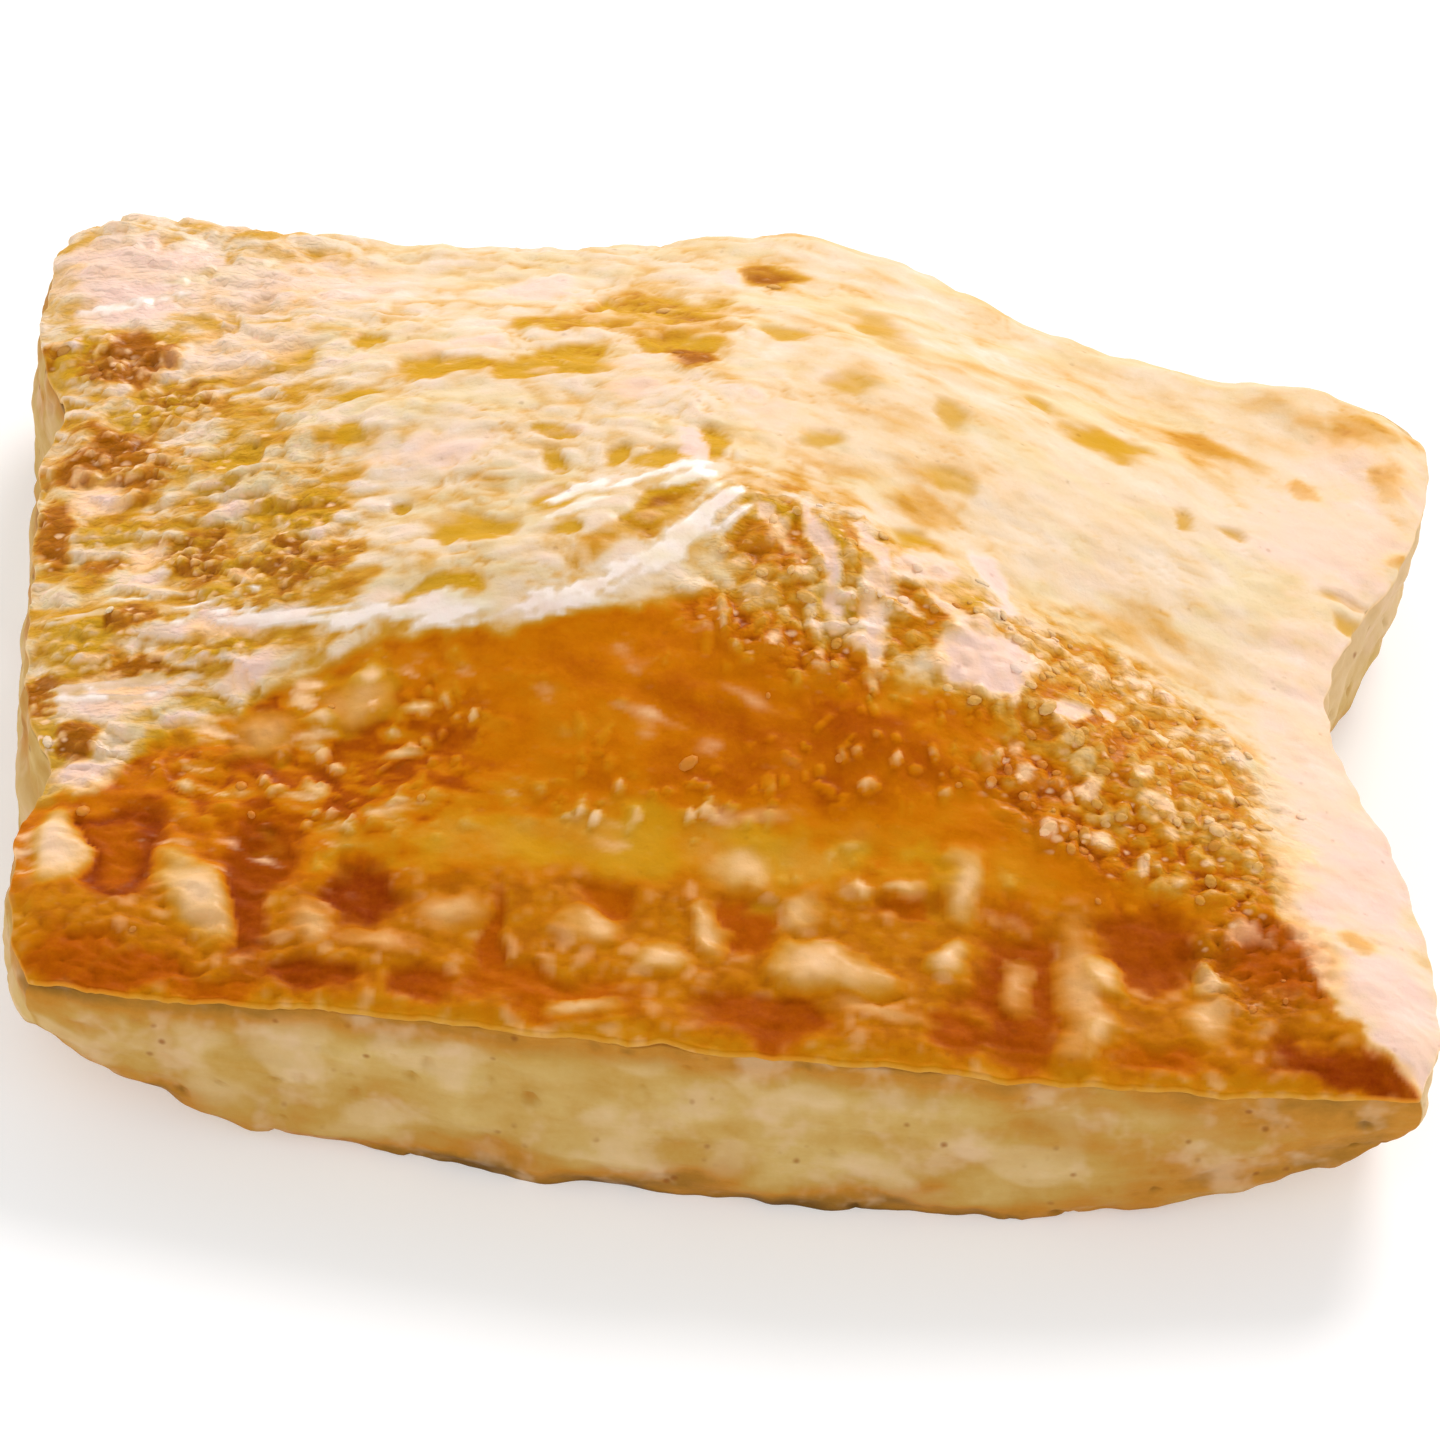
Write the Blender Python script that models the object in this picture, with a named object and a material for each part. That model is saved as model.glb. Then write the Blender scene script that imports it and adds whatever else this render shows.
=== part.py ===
"""A square meat pie in puff pastry: a domed, glazed lid, a rim pressed shut all round, and a risen side wall.

Metres, +Z up. The origin lies under the middle of the pie, at the height of its flat base, and the edge with
the deep press marks faces -Y. A point of the pie is found from three coordinates: ACROSS (-1 left, 1 right),
ALONG (-1 front, 1 back) and DOWN (0 on the lid, 1 on the underside), with the side wall in between.
"""

import bmesh
import bpy
import numpy as np

MM = 0.001

# Plan of the rim: the corners before they are rounded.
FRONT_LEFT = np.array([-63.0, -42.3]) * MM
FRONT_RIGHT = np.array([65.0, -47.3]) * MM
BACK_LEFT = np.array([-63.5, 66.4]) * MM
BACK_RIGHT = np.array([65.5, 50.2]) * MM
CORNER_PULL = 0.035  # share of its way to the centre that a corner is drawn in
CORNER_SHARPNESS = 9  # the larger, the nearer to the corner the rounding starts

# How far each edge stands out from the straight line between its corners, before its own swells and notches.
FRONT_BULGE = 3.9 * MM
BACK_BULGE = 0.5 * MM
LEFT_BULGE = -0.5 * MM
RIGHT_BULGE = -1.5 * MM
EDGE_END_CURVE = 0.3  # the smaller, the nearer to the corners an edge keeps its own shape

# Swells and notches of the outline: place along the edge from 0 to 1, half width, and how far it stands out.
BACK_SWELLS = ((0.555, 0.13, 7.2 * MM), (0.80, 0.12, -2.8 * MM), (0.28, 0.10, -0.5 * MM))
LEFT_SWELLS = ((0.71, 0.045, -2.4 * MM), (0.245, 0.05, -3.2 * MM), (0.85, 0.07, 0.6 * MM))
RIGHT_SWELLS = ((0.52, 0.21, -9.0 * MM), (0.88, 0.09, 0.8 * MM))
FRONT_SWELLS = ((0.25, 0.12, -0.8 * MM), (0.75, 0.14, 0.6 * MM))

# Heights.
RIM_HEIGHT = 19.0 * MM  # top of the side wall, halfway along an edge
RIM_CORNER_DROP = 4.0 * MM
BACK_RIM_RISE = 1.6 * MM
BACK_RIM_START = -0.2  # ALONG where the rim starts to rise towards the back
LID_RISE = 15.5 * MM  # dome above the rim
CORNER_LIFT = 7.8 * MM  # underside of a corner above the table
CORNER_LIFT_POWER = 3  # the larger, the smaller the lifted corner
FLAT_SHARE = 0.05  # how near to a corner the flat base reaches
LIFT_CURVE = 1.2

# Dome.
SUMMIT = (0.0, 0.02)
DOME_SQUARENESS = 3.2
DOME_PEAK_SHARE = 0.22  # the rest of the dome is rounded
DOME_FULLNESS = (1.0, 1.5)  # at the front and at the back
FULLNESS_SPAN = (-0.7, 0.5)  # ALONG from where to where it changes

# Soft folds on the lid: where each starts and ends, its half width in the same coordinates, and its rise.
FOLDS = (
    ((0.0, 0.0), (-0.25, -0.17), 0.11, 1.6 * MM),
    ((-0.25, -0.17), (-0.84, -0.18), 0.11, 1.6 * MM),
    ((0.0, 0.0), (0.38, -0.08), 0.13, 1.6 * MM),
    ((0.38, -0.08), (0.74, -0.46), 0.13, 2.0 * MM),
    ((0.74, -0.46), (0.94, -0.90), 0.12, 1.6 * MM),
)

# Thick pads where the rim's corners are pinched: middle, half width and rise.
PADS = (
    ((-0.86, 0.90), 0.16, 1.8 * MM),
    ((0.86, 0.90), 0.14, 1.5 * MM),
    ((-0.90, -0.86), 0.12, 0.8 * MM),
)

# Side wall.
WALL_BULGE = 0.008
BASE_TAPER = 0.002
CORNER_TAPER = 0.03
CORNER_TAPER_POWER = 4
RIGHT_TAPER = 0.05  # the wall of the right side runs in under the rim
RIGHT_START = 0.4  # ACROSS where that starts
LIP = 0.9 * MM  # rounding of the lid's edge down to the wall
LIP_START = 0.93

# Press marks in the front of the rim.
MARK_COUNT = 10
MARK_FIRST = -0.83
MARK_LAST = 0.78
MARK_SHIFT = 0.014  # how unevenly they are spaced
MARK_SHIFT_TURN = 2.3  # radians from one mark to the next
MARK_WIDTH = 0.055
MARK_FLATNESS = 4  # the larger, the flatter the bottom of a mark
MARK_DEPTH = 1.4 * MM
MARK_UNEVENNESS = 0.25
MARK_DEPTH_TURN = 1.7
MARK_REACH = (-0.93, -0.70)
MARK_END = 0.08

# Grid of the solid: faces across, along and down the side wall.
FACES = (48, 44, 5)
ON_TABLE = 0.001 * MM  # points lower than this lie on the table

# Browned crust.
CRUST_COLOUR = (0.62, 0.36, 0.12, 1.0)
CRUST_ROUGHNESS = 0.45


def swell(place, centre, width):
    """A smooth rise to 1 at the centre."""
    return np.exp(-(((place - centre) / width) ** 2))


def ramp(value, low, high):
    """0 below low, 1 above high, smooth between."""
    share = np.clip((value - low) / (high - low), 0.0, 1.0)
    return share * share * (3.0 - 2.0 * share)


def edge_line(start, end, out, bulge, swells, place):
    """Points of one edge of the rim, at places from 0 at its start to 1 at its end."""
    reach = bulge * np.sin(np.pi * place)
    for centre, width, height in swells:
        reach = reach + height * swell(place, centre, width)
    reach = reach * np.sin(np.pi * place) ** EDGE_END_CURVE
    return start + (end - start) * place[..., None] + np.array(out) * reach[..., None]


def plan(across, along):
    """Place on the plan, blended from the four edges of the rim."""
    corner = np.abs(across * along) ** CORNER_SHARPNESS
    across = across * (1.0 - CORNER_PULL * corner)
    along = along * (1.0 - CORNER_PULL * corner)
    s = (across + 1.0) / 2.0
    t = (along + 1.0) / 2.0
    front = edge_line(FRONT_LEFT, FRONT_RIGHT, (0.0, -1.0), FRONT_BULGE, FRONT_SWELLS, s)
    back = edge_line(BACK_LEFT, BACK_RIGHT, (0.0, 1.0), BACK_BULGE, BACK_SWELLS, s)
    left = edge_line(FRONT_LEFT, BACK_LEFT, (-1.0, 0.0), LEFT_BULGE, LEFT_SWELLS, t)
    right = edge_line(FRONT_RIGHT, BACK_RIGHT, (1.0, 0.0), RIGHT_BULGE, RIGHT_SWELLS, t)
    s = s[..., None]
    t = t[..., None]
    corners = (1 - s) * (1 - t) * FRONT_LEFT + s * (1 - t) * FRONT_RIGHT
    corners = corners + (1 - s) * t * BACK_LEFT + s * t * BACK_RIGHT
    return (1 - t) * front + t * back + (1 - s) * left + s * right - corners


def rim_height(across, along):
    """Height of the rim, carried on under the dome."""
    drop = RIM_CORNER_DROP * (across * along) ** 2
    return RIM_HEIGHT - drop + BACK_RIM_RISE * ramp(along, BACK_RIM_START, 1.0) * (1.0 - across**2)


def dome(across, along):
    """Share of the lid's rise: 0 on the rim and 1 at the summit."""
    side = across - SUMMIT[0]
    side = side / (1.0 - np.sign(side) * SUMMIT[0])
    deep = along - SUMMIT[1]
    deep = deep / (1.0 - np.sign(deep) * SUMMIT[1])
    power = DOME_SQUARENESS
    away = np.clip((np.abs(side) ** power + np.abs(deep) ** power) ** (1.0 / power), 0.0, 1.0)
    front, back = DOME_FULLNESS
    fullness = front + (back - front) * ramp(along, *FULLNESS_SPAN)
    bell = 0.5 + 0.5 * np.cos(np.pi * away**fullness)
    return (1.0 - DOME_PEAK_SHARE) * bell + DOME_PEAK_SHARE * (1.0 - away)


def press_marks(across, along):
    """Depth of the row of marks pressed into the front of the rim."""
    depth = 0.0
    for number in range(MARK_COUNT):
        centre = MARK_FIRST + (MARK_LAST - MARK_FIRST) * number / (MARK_COUNT - 1)
        centre = centre + MARK_SHIFT * np.sin(MARK_SHIFT_TURN * number)
        flat_bottomed = np.exp(-(((across - centre) / MARK_WIDTH) ** MARK_FLATNESS))
        depth = depth + flat_bottomed * (1.0 + MARK_UNEVENNESS * np.sin(MARK_DEPTH_TURN * number))
    near, far = MARK_REACH
    reach = ramp(along, -1.0, near) * (1.0 - ramp(along, far, far + MARK_END))
    return MARK_DEPTH * depth * reach


def folds(across, along):
    """Rise of the soft folds that run down from the summit."""
    rise = 0.0
    for start, end, width, height in FOLDS:
        run = np.array(end) - np.array(start)
        share = ((across - start[0]) * run[0] + (along - start[1]) * run[1]) / run.dot(run)
        share = np.clip(share, 0.0, 1.0)
        away = np.hypot(across - start[0] - share * run[0], along - start[1] - share * run[1])
        rise = np.maximum(rise, height * swell(away, 0.0, width))
    return rise


def pads(across, along):
    """Rise of the thick pads in the corners."""
    rise = 0.0
    for centre, width, height in PADS:
        rise = rise + height * swell(np.hypot(across - centre[0], along - centre[1]), 0.0, width)
    return rise


def lip(across, along):
    """How far the lid's edge rolls down to meet the wall."""
    edge = np.maximum(np.abs(across), np.abs(along))
    return LIP * ramp(edge, LIP_START, 1.0) ** 2


def lid_height(across, along):
    """Height of the lid."""
    height = rim_height(across, along) + LID_RISE * dome(across, along)
    height = height + folds(across, along) + pads(across, along)
    return height - press_marks(across, along) - lip(across, along)


def base_height(across, along):
    """Height of the underside: flat in the middle, with the corners lifted."""
    corner = np.abs(across * along) ** CORNER_LIFT_POWER
    return CORNER_LIFT * np.clip((corner - FLAT_SHARE) / (1.0 - FLAT_SHARE), 0.0, 1.0) ** LIFT_CURVE


def place_points(across, along, down):
    """Points of the pie, in metres."""
    corner = np.abs(across * along) ** CORNER_TAPER_POWER
    right = RIGHT_TAPER * ramp(across, RIGHT_START, 1.0) * (1.0 - corner)
    taper = (BASE_TAPER + CORNER_TAPER * corner) * down**2 + right * down
    bulge = WALL_BULGE * np.sin(np.pi * down)
    flat = plan(across, along) * (1.0 + bulge - taper)[..., None]
    height = (1.0 - down) * lid_height(across, along) + down * base_height(across, along)
    return np.concatenate([flat, height[..., None]], axis=-1)


def cut_grid(mesh, axis, faces):
    """Cuts the cube's edges that run along an axis, for that many faces."""
    edges = [e for e in mesh.edges if abs(e.verts[0].co[axis] - e.verts[1].co[axis]) > 1.0]
    bmesh.ops.subdivide_edges(mesh, edges=edges, cuts=faces - 1, use_grid_fill=True)


def shape_cube(mesh):
    """Moves the points of the cut cube to the pie's surface and centres its plan."""
    cube = np.array([vert.co for vert in mesh.verts])
    points = place_points(cube[:, 0], cube[:, 1], (1.0 - cube[:, 2]) / 2.0)
    low = points[:, :2].min(axis=0)
    high = points[:, :2].max(axis=0)
    points[:, :2] -= (low + high) / 2.0
    for vert, point in zip(mesh.verts, points):
        vert.co = point


def join_flat_base(mesh):
    """Makes the faces that lie on the table one flat face."""
    flat = [face for face in mesh.faces if max(vert.co.z for vert in face.verts) < ON_TABLE]
    bmesh.ops.dissolve_faces(mesh, faces=flat, use_verts=True)


def crust_material():
    """Browned, glazed crust."""
    material = bpy.data.materials.new("crust")
    material.use_nodes = True
    shader = material.node_tree.nodes["Principled BSDF"]
    shader.inputs["Base Color"].default_value = CRUST_COLOUR
    shader.inputs["Roughness"].default_value = CRUST_ROUGHNESS
    shader.inputs["Metallic"].default_value = 0.0
    return material


def build_pie(collection):
    """The whole pie as one closed solid."""
    mesh = bmesh.new()
    bmesh.ops.create_cube(mesh, size=2.0)
    for axis, faces in enumerate(FACES):
        cut_grid(mesh, axis, faces)
    shape_cube(mesh)
    join_flat_base(mesh)
    bmesh.ops.recalc_face_normals(mesh, faces=mesh.faces)
    data = bpy.data.meshes.new("pie")
    mesh.to_mesh(data)
    mesh.free()
    data.materials.append(crust_material())
    data.shade_smooth()
    pie = bpy.data.objects.new("pie", data)
    collection.objects.link(pie)
    return pie


def main():
    for item in list(bpy.data.objects):
        bpy.data.objects.remove(item)
    collection = bpy.data.collections.new("meat_pie")
    bpy.context.scene.collection.children.link(collection)
    build_pie(collection)


main()
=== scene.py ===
"""A square meat pie in puff pastry: a glazed, browned lid over a pale, risen case, on a pale floor.

Metres in the scene, millimetres (MM) in the making. The front edge of the pie, with its press marks, faces -Y.
"""

import bpy
import numpy as np
from mathutils import Matrix, Vector


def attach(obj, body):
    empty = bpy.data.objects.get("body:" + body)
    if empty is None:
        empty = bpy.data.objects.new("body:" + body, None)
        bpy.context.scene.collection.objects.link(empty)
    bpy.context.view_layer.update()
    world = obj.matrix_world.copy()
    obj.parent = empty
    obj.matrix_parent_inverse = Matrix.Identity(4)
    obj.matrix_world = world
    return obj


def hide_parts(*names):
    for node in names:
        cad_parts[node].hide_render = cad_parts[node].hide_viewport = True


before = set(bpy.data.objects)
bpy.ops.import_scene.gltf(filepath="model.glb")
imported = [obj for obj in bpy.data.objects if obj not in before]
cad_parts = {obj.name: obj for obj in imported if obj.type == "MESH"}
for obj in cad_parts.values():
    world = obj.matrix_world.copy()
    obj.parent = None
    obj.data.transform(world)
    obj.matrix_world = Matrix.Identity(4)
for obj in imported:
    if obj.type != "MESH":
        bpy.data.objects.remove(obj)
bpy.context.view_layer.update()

MM = 0.001

# Plan of the rim: the corners before they are rounded, and how far each edge stands out.
FRONT_LEFT = np.array([-63.0, -42.3])
FRONT_RIGHT = np.array([65.0, -47.3])
BACK_LEFT = np.array([-63.5, 66.4])
BACK_RIGHT = np.array([65.5, 50.2])
CORNER_PULL = 0.035
CORNER_SHARPNESS = 9
FRONT_BULGE = 3.9
BACK_BULGE = 0.5
LEFT_BULGE = -0.5
RIGHT_BULGE = -1.5
EDGE_END_CURVE = 0.3

# Swells and notches of the outline: place along the edge, half width there, and how far it stands out.
BACK_SWELLS = ((0.555, 0.13, 7.2), (0.80, 0.12, -2.8), (0.28, 0.10, -0.5))
LEFT_SWELLS = ((0.71, 0.045, -2.4), (0.245, 0.05, -3.2), (0.85, 0.07, 0.6))
RIGHT_SWELLS = ((0.52, 0.21, -9.0), (0.88, 0.09, 0.8))
FRONT_SWELLS = ((0.25, 0.12, -0.8), (0.75, 0.14, 0.6))

# Heights.
RIM_HEIGHT = 19.0
RIM_CORNER_DROP = 4.0
BACK_RIM_RISE = 1.6
BACK_RIM_START = -0.2
LID_RISE = 15.5
CORNER_LIFT = 7.8
FLAT_SHARE = 0.05
LIFT_CURVE = 1.2

# Dome.
SUMMIT = (0.0, 0.02)
DOME_SQUARENESS = 3.2
DOME_PEAK_SHARE = 0.22
DOME_FULLNESS = (1.0, 1.5)
FULLNESS_SPAN = (-0.7, 0.5)

# Soft folds that run down from the summit: start, end, half width and rise.
FOLDS = (
    ((0.0, 0.0), (-0.25, -0.17), 0.11, 1.6),
    ((-0.25, -0.17), (-0.84, -0.18), 0.11, 1.6),
    ((0.0, 0.0), (0.38, -0.08), 0.13, 1.6),
    ((0.38, -0.08), (0.74, -0.46), 0.13, 2.0),
    ((0.74, -0.46), (0.94, -0.90), 0.12, 1.6),
)

# Thick pads where the corners are pinched: middle, half width and rise.
PADS = (
    ((-0.86, 0.90), 0.16, 1.8),
    ((0.86, 0.90), 0.14, 1.5),
    ((-0.90, -0.86), 0.12, 0.8),
)

# Side wall and the roll of the lid's edge.
WALL_BULGE = 0.008
BASE_TAPER = 0.002
CORNER_TAPER = 0.03
RIGHT_TAPER = 0.05
RIGHT_START = 0.4
LIP = 0.9
LIP_START = 0.93

# Lid mesh.
LID_FACES = 298  # across and along
FRONT_CROWDING = 0.22  # how much closer together the rows lie in front, where the relief is finest
# The rolled edge, in rings from the rim: how far out and down. EDGE_FIELDS are its fields inside.
EDGE_ROLL = ((0.08, 0.14), (0.12, 0.38), (0.04, 0.66), (-0.36, 0.92), (-2.4, 1.02))
EDGE_FIELDS = {"bake": 0.40, "toast": 0.0, "olive": 0.3, "pale": 0.1, "glaze": 0.05, "crinkle": 0.4, "bubbly": 0.0}
EDGE_RIPPLE = 0.45  # how far the rim's edge wanders in and out
RIPPLE_START = 0.86

# Case mesh.
CASE_PARTS = 960  # round the side wall
WALL_ROWS = 44
BASE_RINGS = 40
CASE_TOP = 0.028  # share of the wall that is tucked up under the lid
ROUND_LENGTH = 480.0  # way round the wall
WALL_LINES = ((2.6, 0.30), (6.5, 0.16), (11.0, 0.16))  # grooves between layers: how far under the rim, and depth
BASE_LIFT = 0.04  # the underside's dimples stay clear of the table
BASE_DIMPLES = 0.18
BASE_BAKE = 0.56  # how browned the underside is
HIDDEN_BAKE = 0.3  # and the top under the lid
TUCKED_SHARE = 0.10  # share of the wall over which it leaves the rim
TUCKED_REACH = 0.03  # how far its top stands out from the rim
GRID_END = 0.999  # from here on a point of the grid lies on its border

# Bubbles made by Geometry Nodes.
BLISTER_SIZES = {
    "Smallest radius": 0.22 * MM,
    "Largest radius": 0.62 * MM,
    "Least distance": 1.0 * MM,
    "Most in a square metre": 380000.0,
    "Height share": 0.42,
    "Sunk share": 0.22,
    "Seed": 5,
}
BLISTER_STRETCH = (0.7, 1.8)
BLISTER_BALL = {"Segments": 8, "Rings": 5, "Radius": 1.0}
STRETCH_SEED = 7
TURN_SEED = 9

# Bubbles in the lid's own relief: step in millimetres, seed, how many squares of the grid have one, and the
# smallest and largest radius in steps. The wall's holes also say after how many steps they meet again.
LID_BUBBLES = {
    "lobes": (5.0, 107, 0.8, (0.28, 0.58)),
    "large": (2.3, 71, 0.9, (0.30, 0.62)),
    "small": (1.5, 83, 0.9, (0.34, 0.64)),
    "fine": (1.25, 89, 0.9, (0.30, 0.60)),
    "sparse": (2.2, 97, 0.85, (0.16, 0.42)),
}
NOISE_STRETCH = 1.6  # brings the noise to about -1 to 1
WALL_HOLES = (3.0, 151, 0.45, (0.10, 0.24), 160)

# How the patches on the lid are made.
PATCH_SOFTNESS = 0.4
PATCH_REACH = 1.05  # where a patch is half gone, in half sizes
MOUND_REACH = 1.25  # where a lump ends
WARP = 1.1  # how far the patches' places are stirred
WARP_STEP = 6.0
BREAKUP = 0.36  # how torn the patches' edges are
LEAF_TURN = -22.0  # the way the flakes run

# Where the parts of the lid begin and end. EDGE_BAND is a share of the way to the rim. The others are in
# millimetres: below the slope's top line, towards the front, and the last three towards the right.
EDGE_BAND = (0.955, 0.995)
SLOPE_BAND = (-1.0, 1.2)
PRESSED_BAND = (37.0, 41.0)
LEFT_BAND = (-46.0, -28.0)
CALM_BAND = (-8.0, 14.0)
RIGHT_ZONE_BAND = (-4.0, 6.0)

# What is seen on the lid, in millimetres on the plan.

# The line where the browned front slope starts, from left to right.
SLOPE_TOP = (
    (-67, -27), (-58, -27), (-52, -21.5), (-47, -19.5), (-42, -17.8), (-38, -16.6), (-34, -15.9), (-28, -15.8),
    (-22, -15.7), (-16, -15.5), (-12.5, -14.7), (-8.5, -13.4), (-5.5, -12.6), (-2.5, -12.0), (0, -12.6), (3, -14),
    (10, -17), (20, -20.5), (30, -25), (40, -30), (48, -34), (51, -40), (54, -45), (57, -50), (63, -53),
    (67, -54.5),
)
# Shiny strands where the glaze lies thick, glossier and painted pale as highlights: path, half width, rise and how
# sure.
STRANDS = (
    (((-50, -8.5), (-42, -10.2), (-37, -11.6), (-30, -13), (-24, -13.8)), 0.9, 0.3, 0.85),
    (((-29, -13.3), (-21, -14.3), (-16, -13.9), (-12.5, -12.3)), 1.4, 0.3, 0.97),
    (((-14, -13.2), (-9, -10.2), (-5.5, -7), (-3, -4.4), (-1, -2)), 1.5, 0.3, 0.95),
    (((-61, -5.5), (-55, -5.0), (-49, -7.6), (-43, -7.0)), 0.9, 0.2, 0.46),
    (((-16, -3.0), (-12.5, -0.4), (-9, 0.6), (-4.5, 1.0)), 1.7, 0.3, 0.84),
    (((-60, -15), (-56, -15), (-52, -15.5)), 1.8, 0.3, 0.80),
    (((-61, 42), (-57, 42), (-53, 44)), 2.0, 0.3, 0.46),
)
# Smooth pinkish streaks of painted highlight that run down from the top between the blisters: middle, half sizes,
# turn, how sure.
HIGHLIGHT_STREAKS = (
    (7.4, -7.2, 4.4, 0.9, -74, 0.8), (12.0, -5.6, 3.6, 0.9, -51, 0.8), (23.2, -4.6, 3.4, 1.3, -65, 0.9),
    (12.2, -14.6, 4.4, 1.0, -88, 0.6), (22.8, -16.6, 4.6, 3.2, -20, 1.0), (17.0, -6.4, 3.6, 2.0, -30, 0.7),
    (29.8, -19.8, 1.2, 1.0, 0, 0.9), (33.4, -19.0, 1.0, 0.8, 0, 0.9), (-4.4, 5.0, 5.0, 0.9, -76, 0.8),
    (3.0, -4.5, 2.6, 0.7, -60, 0.6), (14.0, -10.5, 3.2, 0.7, -50, 0.7), (19.0, -11.0, 2.6, 0.8, -60, 0.7),
)

# How browned and how uneven the flat, the slope and the pressed rim are where no zone lies. The flat is paler and the
# front slope browner partly from real browning and partly as painted light: the lit back painted paler, the shaded
# front slope darker.
FLAT_REST = (0.22, 0.10)
SLOPE_REST = (0.74, 0.07)
RIM_REST = (0.77, 0.13)
STAIN_UNEVEN = 0.17

# Zones: middle x and y, half width, half depth, turn in degrees, how browned, how uneven, how sure.
FLAT_ZONES = (
    (-30, 36, 24, 18, 0, 0.19, 0.10, 0.9),
    (-22, 5, 20, 13, 0, 0.20, 0.10, 0.9),
    (14, 28, 18, 22, 0, 0.22, 0.13, 0.9),
    (42, 8, 20, 14, 0, 0.18, 0.07, 0.95),
    (12, 10, 7, 6, 0, 0.31, 0.13, 0.8),
    (46, 30, 18, 8, 0, 0.27, 0.12, 0.9),
    (-53, 12, 12, 24, 0, 0.29, 0.24, 0.95),
    (-42, 4, 10, 12, 0, 0.25, 0.24, 0.8),
    (-48, -9, 16, 7, -8, 0.35, 0.25, 0.9),
    (-55, 46, 9, 9, 0, 0.13, 0.10, 0.9),
    (9, -7, 13, 8, -32, 0.38, 0.26, 0.95),
    (4, -9, 5.5, 5, -30, 0.49, 0.22, 0.9),
    (12, -11, 5.4, 4.0, -30, 0.20, 0.20, 0.9),
    (36, -15, 12, 7, -40, 0.44, 0.20, 0.95),
    (40, -26, 13, 6, -40, 0.53, 0.20, 0.9),
    (22, -16, 14, 4.5, -33, 0.56, 0.20, 0.9),
    (27, -13, 4, 4, 0, 0.44, 0.18, 0.6),
)
SLOPE_ZONES = (
    (-36, -26, 18, 8, -20, 0.73, 0.24, 0.95),
    (5, -26, 16, 5, 0, 0.82, 0.06, 0.9),
    (-6, -19, 12, 4, 30, 0.78, 0.06, 0.8),
    (-14, -26, 8, 3, -10, 0.70, 0.08, 0.7),
    (-8, -36.5, 26, 3.2, -2, 0.56, 0.06, 0.95),
    (2, -38, 4.5, 2.6, 0, 0.50, 0.04, 0.8),
    (26, -33, 6, 4, 0, 0.68, 0.08, 0.8),
    (6, -16, 12, 4, -18, 0.70, 0.16, 0.9),
    (20, -23, 10, 3, -30, 0.70, 0.18, 0.8),
    (42, -36, 9, 5, -35, 0.62, 0.20, 0.8),
    (38, -30, 9, 4, -30, 0.56, 0.21, 0.9),
)
# Where small blisters crowd: middle, half sizes and turn.
BLISTER_PATCHES = (
    (37, -19, 15, 9, -42), (24, -15, 13, 7, -32), (9, -9, 12, 7, -30), (43, -31, 8, 5, -45), (33, -30, 12, 5, -20),
    (48, -42, 6, 6, -40), (5, -15, 10, 4, -15), (-56, 31, 4, 5, 0), (-54, 20, 6, 6, 0), (-45, 8, 7, 6, -30),
    (-42, -2, 6, 8, 10), (-57, 5, 4, 4, 0), (-50, -23, 7, 3, -20),
)

# Browned patches: middle x and y, half width, half depth, turn in degrees, how brown, how sure.
BROWN_PATCHES = (
    (-9, 34, 8.5, 7.0, 0, 0.42, 0.8),
    (-5, 23, 1.8, 2.0, 10, 0.80, 0.9),
    (2.8, 46, 2.4, 2.8, 0, 0.54, 0.9),
    (-56, 33, 4.2, 3.8, -10, 0.98, 0.95),
    (-63, 36, 1.2, 1.6, 0, 0.80, 0.8),
    (-51, 25, 4.0, 2.8, -15, 0.60, 0.8),
    (-59, 18, 3.4, 3.8, -10, 0.92, 0.95),
    (-54, 16, 2.6, 4.6, 0, 0.70, 0.9),
    (-62, 8, 1.8, 4.2, 0, 0.86, 0.9),
    (-54, 12, 2.0, 1.0, 0, 0.62, 0.8),
    (-40, 4, 4.4, 2.2, -15, 0.60, 0.8),
    (-49, 1, 2.8, 2.8, 0, 0.74, 0.9),
    (-41, -4, 5.6, 3.8, -15, 0.76, 0.9),
    (-58, 2, 2.2, 1.4, 0, 0.76, 0.8),
    (-54, -7, 2.6, 1.3, 0, 0.70, 0.8),
    (-53, -13, 2.6, 1.3, -10, 0.92, 0.95),
    (-57, -11, 2.6, 1.2, 0, 0.64, 0.8),
    (-46, -12.5, 4.4, 0.7, -5, 0.60, 0.8),
    (-62, -15, 1.2, 2.2, 0, 0.84, 0.9),
    (-58, -20, 1.7, 2.4, 0, 0.96, 0.95),
    (-9, -5.5, 7, 1.5, 38, 0.56, 0.7),
    (43, 27.5, 3.2, 3.0, 0, 0.46, 0.8),
    (58.5, 35.5, 4.5, 2.4, 0, 0.46, 0.8),
    (59.5, 29, 1.2, 1.8, 30, 0.54, 0.8),
    (53, 25.5, 1.0, 1.8, 30, 0.56, 0.8),
    (61.5, 17.5, 1.2, 1.4, 0, 0.54, 0.8),
    (16.5, 3, 3.2, 3.0, -20, 0.46, 0.8),
    (38, -3.5, 5.5, 2.6, -30, 0.36, 0.7),
    (63.5, 42, 1.6, 5, 0, 0.44, 0.8),
    (61, 27, 1.5, 4, 0, 0.40, 0.7),
    (57.5, -4, 1.5, 8, 0, 0.38, 0.6),
    (57, -38, 2.2, 1.8, 0, 0.56, 0.9),
    (2.5, -7, 2.6, 2.0, 0, 0.72, 0.8),
)
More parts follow.
